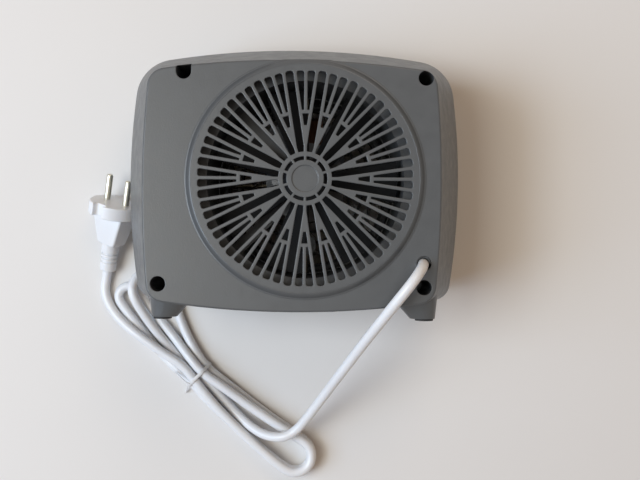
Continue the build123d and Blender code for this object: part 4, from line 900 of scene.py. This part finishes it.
@dataclass
class Stage:
    """Tabletop, soft lamps and the camera."""

    camera_place: Point = (0.0185, -0.0403, 0.700)
    focal_pixels: float = 910.0
    frame_width: int = 640
    sensor: float = 36.0
    roll_degrees: float = 0.5
    nearest: float = 0.02
    farthest: float = 20.0
    floor_size: float = 3.0
    floor_colour: Colour = (0.76, 0.755, 0.745)
    room_colour: Colour = (1.0, 0.68, 0.46)
    room_strength: float = 0.235
    backdrop_colour: Colour = (0.8, 0.8, 0.79)
    lamps: tuple[Lamp, ...] = (
        Lamp("window", (-2.1, -0.3, 1.95), size=1.7, power=55.0, colour=(0.55, 0.73, 0.97)),
        Lamp("ceiling", (-1.0, -0.05, 1.85), size=0.9, power=20.0, colour=(0.90, 0.88, 0.80)),
        Lamp("room lamp", (0.5, 1.3, 1.45), size=1.0, power=8.0, colour=(1.0, 0.84, 0.66)),
    )

    def add_camera(self) -> None:
        """Camera that looks straight down, as the photograph does."""
        data = bpy.data.cameras.new("camera")
        data.sensor_width = self.sensor
        data.lens = self.focal_pixels / self.frame_width * self.sensor
        data.clip_start = self.nearest
        data.clip_end = self.farthest
        camera = bpy.data.objects.new("camera", data)
        camera.location = self.camera_place
        camera.rotation_euler = (0.0, 0.0, math.radians(self.roll_degrees))
        bpy.context.scene.collection.objects.link(camera)
        bpy.context.scene.camera = camera

    def add_floor(self) -> None:
        """Plain pale tabletop that the heater lies on."""
        bpy.ops.mesh.primitive_plane_add(size=self.floor_size, location=(0.0, 0.0, 0.0))
        floor = bpy.context.active_object
        floor.name = "tabletop"
        floor.data.materials.append(Tabletop("pale tabletop", self.floor_colour).build())

    def add_room(self) -> None:
        """Even light from all round, with a pale background where rays see it plainly."""
        world = bpy.data.worlds.new("room")
        world.use_nodes = True
        bpy.context.scene.world = world
        nodes, links = world.node_tree.nodes, world.node_tree.links
        nodes.clear()
        mix = nodes.new("ShaderNodeMixShader")
        lights = ((self.room_colour, self.room_strength), (self.backdrop_colour, 1.0))
        for socket, (colour, strength) in enumerate(lights, start=1):
            light = nodes.new("ShaderNodeBackground")
            light.inputs["Color"].default_value = (*colour, 1.0)
            light.inputs["Strength"].default_value = strength
            links.new(light.outputs["Background"], mix.inputs[socket])
        path = nodes.new("ShaderNodeLightPath")
        seen = path.outputs["Is Camera Ray"]
        for kind in ("Is Glossy Ray", "Is Transmission Ray"):
            either = nodes.new("ShaderNodeMath")
            either.operation = "MAXIMUM"
            links.new(seen, either.inputs[0])
            links.new(path.outputs[kind], either.inputs[1])
            seen = either.outputs["Value"]
        links.new(seen, mix.inputs["Fac"])
        output = nodes.new("ShaderNodeOutputWorld")
        links.new(mix.outputs["Shader"], output.inputs["Surface"])

    def build(self) -> None:
        """Add everything."""
        bpy.context.scene.view_settings.view_transform = "Standard"
        self.add_camera()
        self.add_floor()
        for lamp in self.lamps:
            lamp.build()
        self.add_room()


# Lead


@dataclass(frozen=True)
class LoopShape:
    """Half loop of the hank, from the tied waist to its far end."""

    reach: float
    half_width: float
    swell: float
    bow: float


@dataclass
class Lead:
    """Flexible lead from the heater's back, through the tied hank, to the plug."""

    finishes: Finishes
    diameter: float = 0.0070
    length: float = 1.28
    exit: Point = (0.0856, -0.0549, 0.115)
    tie_x: float = -0.0729
    tie_y: float = -0.1439
    tie_heading: float = -44.0
    strand_step: float = 0.0079
    rest_z: float = 0.0036
    waist_z: float = 0.0054
    layer_rise: float = 0.0077
    waist_hold: float = 0.009
    waist_slope: float = 0.028
    wide_loop: LoopShape = LoopShape(reach=0.072, half_width=0.0145, swell=1.05, bow=0.018)
    lower_loop: LoopShape = LoopShape(reach=0.095, half_width=0.013, swell=0.7, bow=0.008)
    narrow_loop: LoopShape = LoopShape(reach=0.080, half_width=0.0084, swell=0.4, bow=0.007)
    half_loop_runs: int = 5
    turn_runs: int = 5
    crossing_rise: float = 0.0088
    crossing_point: float = 5.1
    crossing_spread: float = 1.9
    end_run: float = 0.014
    to_hank: tuple[Point, ...] = (
        (0.0856, -0.0549, 0.0945),
        (0.0856, -0.0549, 0.1060),
        (0.0851, -0.0555, 0.1170),
        (0.0822, -0.0592, 0.1260),
        (0.0764, -0.0668, 0.1312),
        (0.0655, -0.0813, 0.1260),
        (0.0499, -0.1048, 0.1040),
        (0.0350, -0.1301, 0.0740),
        (0.0221, -0.1524, 0.0460),
        (0.0111, -0.1703, 0.0295),
        (0.0017, -0.1826, 0.0236),
        (-0.0084, -0.1880, 0.0228),
        (-0.0222, -0.1874, 0.0165),
        (-0.0344, -0.1814, 0.0090),
        (-0.0444, -0.1733, 0.0046),
        (-0.0540, -0.1630, 0.0038),
    )
    to_plug: tuple[Point, ...] = (
        (-0.0978, -0.1279, 0.0119),
        (-0.1111, -0.1187, 0.0115),
        (-0.1237, -0.1101, 0.0102),
        (-0.1351, -0.1007, 0.0064),
        (-0.1433, -0.0897, 0.0036),
        (-0.1459, -0.0795, 0.0036),
    )

    @property
    def upper_z(self) -> float:
        """Height of the waist's two upper strands, which lie between the lower ones."""
        return self.waist_z + self.strand_step * math.sin(math.radians(60))

    def in_tie_frame(self, along: float, across: float, height: float) -> Vector:
        """Point given along and across the hank's waist.

        Args:
            along: Distance along the strands.
            across: Distance across them.
            height: Height above the table.

        Returns:
            The point in the model's frame.
        """
        heading = math.radians(self.tie_heading)
        x = self.tie_x + along * math.cos(heading) - across * math.sin(heading)
        y = self.tie_y + along * math.sin(heading) + across * math.cos(heading)
        return Vector((x, y, height))

    def half_loop(
        self, side: int, shape: LoopShape, start: Strand, end: Strand, level: float
    ) -> list[Point]:
        """Points of a half loop, out from the waist, round and back.

        Args:
            side: +1 towards the lower right, -1 towards the upper left.
            shape: The loop's shape.
            start: The first strand's place across the waist, and its height.
            end: The last strand's.
            level: Height that the loop lies at.

        Returns:
            Points as (along, across, height) in the tie's frame.
        """
        waist_middle = (start[0] + end[0]) / 2
        waist_half = abs(start[0] - end[0]) / 2
        first_side = 1 if start[0] > end[0] else -1

        def strand(step: int, strand_side: int, waist_height: float) -> Point:
            """Point of a strand.

            Args:
                step: Steps out from the waist.
                strand_side: Side of the loop's middle line, +1 or -1.
                waist_height: The strand's height at the waist.

            Returns:
                The point.
            """
            share = step / self.half_loop_runs
            lean = math.atan(2 * shape.bow * share / shape.reach)
            half = waist_half + (shape.half_width - waist_half) * share**shape.swell
            fall = (share * shape.reach - self.waist_hold) / self.waist_slope
            fall = min(1.0, max(0.0, fall))
            fall = fall * fall * (3 - 2 * fall)
            along = share * shape.reach - strand_side * half * math.sin(lean)
            across = waist_middle + shape.bow * share**2 + strand_side * half * math.cos(lean)
            return (side * along, across, waist_height + (level - waist_height) * fall)

        steps = range(self.half_loop_runs + 1)
        points = [strand(step, first_side, start[1]) for step in steps]
        lean = math.atan(2 * shape.bow / shape.reach)
        for step in range(1, self.turn_runs):
            angle = math.pi * step / self.turn_runs
            ahead = shape.half_width * math.sin(angle)
            aside = first_side * shape.half_width * math.cos(angle)
            along = shape.reach + ahead * math.cos(lean) - aside * math.sin(lean)
            across = waist_middle + shape.bow + ahead * math.sin(lean) + aside * math.cos(lean)
            points.append((side * along, across, level))
        return points + [strand(step, -first_side, end[1]) for step in reversed(steps)]

    def hank(self) -> list[Vector]:
        """Points of the hank: wide loop, lower loop, narrow loop, and a second lower loop.

        Returns:
            The points in the model's frame.
        """
        left, middle, right = ((side * self.strand_step, self.waist_z) for side in (-1, 0, 1))
        upper_left = (-self.strand_step / 2, self.upper_z)
        upper_right = (self.strand_step / 2, self.upper_z)
        wide = []
        loop = self.half_loop(-1, self.wide_loop, middle, right, self.rest_z)
        for index, (along, across, height) in enumerate(loop):
            bump = math.exp(-(((index - self.crossing_point) / self.crossing_spread) ** 2))
            wide.append((along, across, height + self.crossing_rise * bump))
        lower = self.half_loop(1, self.lower_loop, right, left, self.rest_z)
        narrow = self.half_loop(-1, self.narrow_loop, left, upper_right, self.rest_z)
        level = self.rest_z + self.layer_rise
        second = self.half_loop(1, self.lower_loop, upper_right, upper_left, level)
        return [self.in_tie_frame(*point) for point in wide + lower[1:] + narrow[1:] + second[1:]]

    def build(self, plug_end: Vector, plug_axis: Vector, with_pieces: list[Piece]) -> Piece:
        """Lay the lead along its route.

        Args:
            plug_end: Where the lead enters the plug's collar.
            plug_axis: The plug's axis, towards its pins.
            with_pieces: The plug's pieces and the tie; not used.

        Returns:
            The lead.
        """
        hank = self.hank()
        into = hank[0] + (hank[0] - hank[1]).normalized() * self.end_run
        out = hank[-1] + (hank[-1] - hank[-2]).normalized() * self.end_run
        before_plug = plug_end - plug_axis * self.end_run / 2
        to_hank, to_plug = map(Vector, self.to_hank), map(Vector, self.to_plug)
        route = [*to_hank, into, *hank, out, *to_plug, before_plug, plug_end]
        lead = curve_through(
            "lead", route, bevel_depth=self.diameter / 2, bevel_resolution=5, resolution_u=10
        )
        self.finishes.dress(lead, "cord_white", "cord_lead", "cord_hank", "cord_tail")
        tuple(self.exit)
        return lead


@dataclass
class CordTie:
    """Thin tie round the hank's waist, with its two loose ends."""

    finishes: Finishes
    lead: Lead
    gap: float = 0.0005
    thickness: float = 0.0008
    width: float = 0.0024
    edge_round: float = 0.0002
    end_thickness: float = 0.0005
    end_width: float = 0.0003
    ends: tuple[tuple[Point, ...], ...] = (
        (
            (0.0, -0.0077, 0.0144),
            (-0.0020, -0.0090, 0.0154),
            (-0.0085, -0.0096, 0.0134),
            (-0.0147, -0.0104, 0.0105),
        ),
        (
            (0.0, -0.0123, 0.0054),
            (0.0008, -0.0142, 0.0044),
            (0.0017, -0.0160, 0.0030),
            (0.0024, -0.0176, 0.0012),
        ),
    )

    def band(self) -> Piece:
        """Band stretched round the six strands, with X across them, Y up and Z along them.

        Returns:
            The band.
        """
        lead = self.lead
        step, radius = lead.strand_step, lead.diameter / 2 + self.gap
        outermost = ((step, lead.waist_z), (step / 2, lead.upper_z))
        cores = [
            cylinder("tie_core", radius, self.width, (side * across, height, 0), vertices=36)
            for across, height in outermost
            for side in (-1, 1)
        ]
        band = join(cores)
        band.name = "cord_tie_band"
        with editing(band):
            bpy.ops.mesh.convex_hull()
        with editing(band, lambda face: facing_up(face) or facing_down(face)):
            bpy.ops.mesh.delete(type="FACE")
        apply_modifier(band, "SOLIDIFY", thickness=self.thickness, offset=1.0)
        bevel(band, self.edge_round, segments=2, degrees=50)
        return band

    def loose_end(self, points: tuple[Point, ...]) -> Piece:
        """One loose end, as a flat strip.

        Args:
            points: Points along it, in the tie's frame.

        Returns:
            The strip as a mesh, in the model's frame.
        """
        strip = curve_through(
            "tie_end",
            [self.lead.in_tie_frame(*point) for point in points],
            extrude=self.end_width,
            bevel_depth=self.end_thickness,
            bevel_resolution=2,
            use_fill_caps=True,
            resolution_u=6,
        )
        select_only(strip)
        bpy.ops.object.convert(target="MESH")
        return bpy.context.active_object

    def build(self) -> Piece:
        """Build the tie.

        Returns:
            The tie.
        """
        band = self.band()
        origin = self.lead.in_tie_frame(0, 0, 0)
        across = self.lead.in_tie_frame(0, 1, 0) - origin
        along = self.lead.in_tie_frame(1, 0, 0) - origin
        turn = Matrix((across, (0, 0, 1), along)).transposed().to_4x4()
        place(band, Matrix.Translation(origin) @ turn)
        tie = join([band, *map(self.loose_end, self.ends)])
        tie.name = "tie"
        smooth(tie)
        self.finishes.dress(tie, "tie_white", "cord_tie")
        return tie


# Plug


@dataclass
class Plug:
    """Moulded two-pin plug: notched round flange, tapered body, grooved collar and two pins."""

    finishes: Finishes
    face_x: float = -0.1337
    face_y: float = -0.0134
    heading: float = 10.5
    pitch: float = 16.0
    roll: float = 30.0
    clearance: float = 0.00005
    flange_radius: float = 0.0195
    flange_depth: float = 0.0095
    flange_round: float = 0.0012
    notch_width: float = 0.009
    notch_depth: float = 0.005
    notch_round: float = 0.002
    body_width: float = 0.029
    body_height: float = 0.017
    neck_width: float = 0.017
    neck_height: float = 0.0135
    neck_step: tuple[float, float] = (0.8, 0.86)
    body_round: float = 0.0026
    body_length: float = 0.0225
    collar_length: float = 0.022
    collar_radius: float = 0.0066
    collar_end_radius: float = 0.0060
    collar_round: float = 0.0008
    grooves: int = 3
    groove_start: float = 0.009
    groove_step: float = 0.0032
    groove_width: float = 0.0014
    groove_depth: float = 0.0010
    groove_slope: float = 0.0001
    voxel: float = 0.0004
    pin_radius: float = 0.0024
    pin_length: float = 0.019
    pin_root: float = 0.008
    pin_spacing: float = 0.019
    pin_round: float = 0.0012
    tip_angles: tuple[float, ...] = (0, 30, 60, 80)

    def axes(self) -> tuple[Vector, Vector]:
        """Unit vectors across and along the plug.

        Returns:
            Across the two pins, and towards their tips.
        """
        heading, pitch, roll = map(math.radians, (self.heading, self.pitch, self.roll))
        level_run = math.cos(pitch)
        x, y = math.sin(heading) * level_run, math.cos(heading) * level_run
        along = Vector((x, y, math.sin(pitch)))
        level = Vector((math.cos(heading), -math.sin(heading), 0.0))
        upright = level.cross(along)
        return level * math.cos(roll) + upright * math.sin(roll), along

    def face(self) -> Vector:
        """Middle of the flange's face, with the flange's rim on the table.

        Returns:
            The point in the model's frame.
        """
        pitch = math.radians(self.pitch)
        thickness = self.flange_depth - self.flange_round
        rim = self.flange_radius * math.cos(pitch) + thickness * math.sin(pitch)
        return Vector((self.face_x, self.face_y, rim + self.clearance))

    def matrix(self) -> Matrix:
        """Place of the plug's own frame, whose Z runs towards the pins' tips.

        Returns:
            The place in the model's frame.
        """
        across, along = self.axes()
        turn = Matrix((across, along.cross(across), along)).transposed().to_4x4()
        return Matrix.Translation(self.face()) @ turn

    def tail(self) -> Vector:
        """Where the lead enters the collar."""
        depth = self.flange_depth + self.body_length + self.collar_length
        return self.face() - self.axes()[1] * depth

    def flange(self) -> Piece:
        """Round flange with two rounded notches.

        Returns:
            The flange, in the plug's own frame.
        """
        middle = -self.flange_depth / 2
        flange = cylinder(
            "plug_flange", self.flange_radius, self.flange_depth, (0, 0, middle), vertices=96
        )
        notch = (self.notch_width, 2 * self.notch_depth, 2 * self.flange_depth)
        for side in (-1, 1):
            cutter = box("notch_cutter", notch, (0, side * self.flange_radius, middle))
            round_upright_edges(cutter, self.notch_round, segments=5)
            combine(flange, cutter, "DIFFERENCE")
        bevel(flange, self.flange_round, segments=3, degrees=60)
        return flange

    def tapered_body(self) -> Piece:
        """Tapered body with rounded edges, from the flange to the collar.

        Returns:
            The body, in the plug's own frame.
        """
        near = -self.flange_depth
        far = near - self.body_length
        overlap = self.flange_depth / 2
        size = (self.body_width, self.body_height, self.body_length)
        body = box("plug_tapered_body", size, (0, 0, (near + far) / 2))
        with editing(body, facing_down):
            widen(self.neck_width / self.body_width, self.neck_height / self.body_height)
            extrude(-overlap / 4)
            widen(*self.neck_step)
        with editing(body, facing_up):
            extrude(overlap)
        bevel(body, self.body_round, segments=4, degrees=40)
        return body

    def collar(self) -> Piece:
        """Grooved collar that the lead enters.

        Returns:
            The collar, in the plug's own frame.
        """
        start = -self.flange_depth - self.body_length
        taper = (self.collar_radius - self.collar_end_radius) / self.collar_length
        groove_radius = self.collar_end_radius - self.groove_depth
        slope = self.groove_slope

        def radius(depth: float) -> float:
            """Radius of the collar at a depth from its start."""
            return self.collar_radius - taper * depth

        rings = [(start + self.body_length / 4, radius(0)), (start, radius(0))]
        for groove in range(self.grooves):
            near = self.groove_start + groove * self.groove_step - self.groove_width
            far = near + self.groove_width
            rings += [(start - near, radius(near)), (start - near - slope, groove_radius)]
            rings += [(start - far + slope, groove_radius), (start - far, radius(far))]
        end, rounding = self.collar_length, self.collar_round
        rings += [
            (start - end + rounding, radius(end - rounding)),
            (start - end + rounding / 4, radius(end) - rounding / 4),
            (start - end, radius(end) - rounding),
        ]
        return extruded_rings("plug_collar", rings, vertices=64)

    def pins(self) -> Piece:
        """Two round pins with rounded tips.

        Returns:
            The pins, in the plug's own frame.
        """
        rings = [(-self.pin_root, self.pin_radius)]
        for angle in map(math.radians, self.tip_angles):
            height = self.pin_length - self.pin_round * (1 - math.sin(angle))
            rings.append((height, self.pin_radius - self.pin_round * (1 - math.cos(angle))))
        first = extruded_rings("plug_pin", rings, vertices=40)
        second = copied(first, "plug_pin_second")
        place(first, Matrix.Translation((-self.pin_spacing / 2, 0, 0)))
        place(second, Matrix.Translation((self.pin_spacing / 2, 0, 0)))
        return join([first, second])

    def build(self) -> list[Piece]:
        """Build the plug.

        Returns:
            Its moulding and its pins.
        """
        moulding = join([self.flange(), self.tapered_body(), self.collar()])
        moulding.name = "plug_moulding"
        apply_modifier(moulding, "REMESH", mode="VOXEL", voxel_size=self.voxel)
        apply_modifier(moulding, "SMOOTH", factor=0.5, iterations=4)
        for side in (-1, 1):
            centre = (side * self.pin_spacing / 2, 0, 0)
            socket = cylinder(
                "pin_socket", self.pin_radius, 2 * self.pin_root, centre, vertices=40
            )
            combine(moulding, socket, "DIFFERENCE")
        pins = self.pins()
        pins.name = "plug_pin_pair"
        for piece in (moulding, pins):
            place(piece, self.matrix())
            smooth(piece)
        self.finishes.dress(moulding, "cord_white", "plug_body")
        self.finishes.dress(pins, "pin_brass", "plug_pins")
        return [moulding, pins]


# Small parts of the body


@dataclass
class TableEdge:
    """Soft edge where the back rises to the grille's round table."""

    finishes: Finishes
    x: float = 0.0086
    y: float = -0.0010
    table_radius: float = 0.0766
    back_z: float = 0.115
    table_z: float = 0.118
    back_top: float = 0.0756
    inner_reach: float = 0.0032
    outer_reach: float = 0.0014
    steps: int = 12
    cover: float = 0.00004
    sunk: float = 0.0005
    vertices: int = 192

    def section(self) -> list[Ring]:
        """Height and radius of each point round the edge's section.

        Returns:
            The points, from the back up to the table, down inside the shell and to the start.
        """
        outer = self.table_radius + self.outer_reach
        inner = self.table_radius - self.inner_reach
        points = []
        for step in range(self.steps + 1):
            share = step / self.steps
            rise = share * share * (3 - 2 * share) * (self.table_z - self.back_z)
            points.append((self.back_z + self.cover + rise, outer + share * (inner - outer)))
        below = [(self.table_z - self.sunk, inner), (self.back_z - self.sunk, outer)]
        return [*points, *below, points[0]]

    def build(self) -> Piece:
        """Build the edge as a ring that ends at the back's upper edge.

        Returns:
            The edge.
        """
        section = self.section()
        height, radius = section[0]
        bpy.ops.mesh.primitive_circle_add(
            vertices=self.vertices, radius=radius, location=(0, 0, height)
        )
        edge = added("table_edge")
        with editing(edge, pick=Pick.EDGES):
            extrude_through(section)
            bpy.ops.mesh.select_all(action="SELECT")
            bpy.ops.mesh.remove_doubles(threshold=MERGE)
            bpy.ops.mesh.normals_make_consistent(inside=False)
        place(edge, Matrix.Translation((self.x, self.y, 0)))
        with editing(edge, pick=Pick.EDGES):
            bpy.ops.mesh.bisect(
                plane_co=(0, self.back_top, 0), plane_no=(0, 1, 0), use_fill=True, clear_outer=True
            )
        smooth(edge, degrees=40.0)
        self.finishes.dress(edge, "shell_grey")
        return edge


@dataclass
class FootPads:
    """Four round rubber pads with a recessed underside."""

    finishes: Finishes
    radius: float = 0.006
    thickness: float = 0.0014
    foot_end_y: float = -0.0916
    rim: float = 0.0011
    recess: float = 0.0005
    edge_round: float = 0.00025

    def pad(self) -> Piece:
        """One pad, with its underside up.

        Returns:
            The pad, at the origin.
        """
        centre = (0, 0, self.thickness / 2)
        pad = cylinder("foot_pad", self.radius, self.thickness, centre, vertices=64)
        with editing(pad, facing_up):
            for rise in (-self.recess, self.recess / 2):
                bpy.ops.mesh.inset(thickness=self.rim)
                extrude(rise)
        bevel(pad, self.edge_round, segments=2, degrees=50)
        return pad

    def build(self) -> list[Piece]:
        """Put a pad on the end of every foot.

        Returns:
            The pads.
        """
        pattern = self.pad()
        towards_floor = Matrix.Rotation(math.radians(90), 4, "X")
        pads = []
        for foot in ("rear_left", "rear_right", "front_left", "front_right"):
            node = f"foot_pad_{foot}"
            low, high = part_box(node)
            middle = (Vector(low) + Vector(high)) / 2
            pad = copied(pattern, f"rubber_{foot}")
            end = Matrix.Translation((middle.x, self.foot_end_y, middle.z))
            place(pad, end @ towards_floor)
            smooth(pad)
            self.finishes.dress(pad, "rubber_black", node)
            pads.append(pad)
        bpy.data.objects.remove(pattern, do_unlink=True)
        return pads


@dataclass
class ControlKnobs:
    """Ridged knobs of the thermostat and the selector, with a bar grip and a pointer."""

    finishes: Finishes
    x: float = -0.081
    thermostat_y: float = 0.034
    selector_y: float = -0.020
    radius: float = 0.0155
    top_radius: float = 0.014
    back_z: float = 0.0134
    disc_front_z: float = 0.006
    front_z: float = 0.001
    ridges: int = 40
    ridge_inset: float = 0.0003
    ridge_height: float = 0.0004
    rim: float = 0.0012
    recess: float = 0.0006
    edge_round: float = 0.0001
    grip_length: float = 0.025
    grip_width: float = 0.006
    grip_root: float = 0.001
    grip_end_share: float = 0.45
    grip_taper: tuple[float, float] = (0.8, 0.95)
    grip_round: float = 0.0006
    socket_radius: float = 0.003
    socket_depth: float = 0.005
    pointer_length: float = 0.008
    pointer_width: float = 0.0012
    pointer_height: float = 0.0002
    pointer_end_share: float = 0.9
    pointer_round: float = 0.00008

    def disc(self) -> Piece:
        """Ridged disc with a rounded front edge and a blind socket.

        Returns:
            The disc, on the Z axis.
        """
        height = self.back_z - self.disc_front_z
        centre = (0, 0, self.disc_front_z + height / 2)
        disc = cylinder("knob_disc", self.radius, height, centre, vertices=2 * self.ridges)
        with editing(disc, facing_down):
            widen(self.top_radius / self.radius, self.top_radius / self.radius)
        sector = math.pi / self.ridges

        def ridged(face: Face) -> bool:
            """Whether a face of the disc's side carries a ridge."""
            angle = math.atan2(face.center.y, face.center.x) + math.pi
            return abs(face.normal.z) < LEVEL and int(angle / sector) % 2 == 0

        with editing(disc, ridged):
            bpy.ops.mesh.inset(thickness=self.ridge_inset, use_individual=True)
            bpy.ops.mesh.extrude_region_shrink_fatten(
                TRANSFORM_OT_shrink_fatten={"value": self.ridge_height}
            )
        with editing(disc, facing_down):
            bpy.ops.mesh.inset(thickness=self.rim)
            extrude(self.recess)
        centre = (0, 0, self.back_z)
        socket = cylinder(
            "shaft_socket", self.socket_radius, 2 * self.socket_depth, centre, vertices=40
        )
        combine(disc, socket, "DIFFERENCE")
        return disc

    def grip(self) -> Piece:
        """Bar grip, narrower at its front, with rounded ends.

        Returns:
            The grip, on the Z axis.
        """
        height = self.disc_front_z - self.front_z + self.grip_root
        size = (self.grip_width, self.grip_length, height)
        grip = box("knob_grip", size, (0, 0, self.front_z + height / 2))
        round_upright_edges(grip, self.grip_end_share * self.grip_width, segments=6)
        with editing(grip, facing_down):
            widen(*self.grip_taper)
        bevel(grip, self.grip_round, segments=3, degrees=60)
        return grip

    def pointer(self) -> Piece:
        """Raised line at the grip's upper end that shows where the knob points.

        Returns:
            The line, on the grip's front.
        """
        middle = self.grip_length * self.pointer_end_share / 2 - self.pointer_length / 2
        size = (self.pointer_width, self.pointer_length, self.pointer_height)
        line = box("pointer", size, (0, middle, self.front_z - self.pointer_height / 2))
        bevel(line, self.pointer_round, segments=2, degrees=30)
        return line

    def build(self) -> list[Piece]:
        """Build both knobs and their pointers.

        Returns:
            The knobs and pointers.
        """
        disc = self.disc()
        combine(disc, self.grip(), "UNION")
        bevel(disc, self.edge_round, segments=2, degrees=35)
        line = self.pointer()
        pieces = []
        for body, y in ((Body.THERMOSTAT, self.thermostat_y), (Body.SELECTOR, self.selector_y)):
            knob = copied(disc, f"{body.value}_grip_knob")
            pointer = copied(line, f"{body.value}_pointer")
            for piece in (knob, pointer):
                place(piece, Matrix.Translation((self.x, y, 0)))
                smooth(piece)
            self.finishes.dress(knob, "knob_black", f"{body.value}_knob", body=body)
            self.finishes.dress(pointer, "tie_white", body=body)
            pieces += [knob, pointer]
        bpy.data.objects.remove(disc, do_unlink=True)
        bpy.data.objects.remove(line, do_unlink=True)
        return pieces


def report(*pieces: Piece) -> None:
    """Log the pieces that were built."""
    for piece in pieces:
        LOG.info("%s built", piece.name)


def main() -> None:
    """Build the stage and every piece."""
    logging.basicConfig(level=logging.INFO, format="%(name)s: %(message)s")
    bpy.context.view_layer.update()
    finishes = Finishes()
    Stage().build()
    finishes.dress_nodes()
    LOG.info("stage built and CAD nodes dressed")
    plug = Plug(finishes)
    plug_pieces = plug.build()
    report(*plug_pieces)
    lead = Lead(finishes)
    tie = CordTie(finishes, lead).build()
    report(tie)
    report(lead.build(plug.tail(), plug.axes()[1], [*plug_pieces, tie]))
    report(TableEdge(finishes).build())
    report(*FootPads(finishes).build())
    report(*ControlKnobs(finishes).build())


if __name__ == "__main__":
    main()
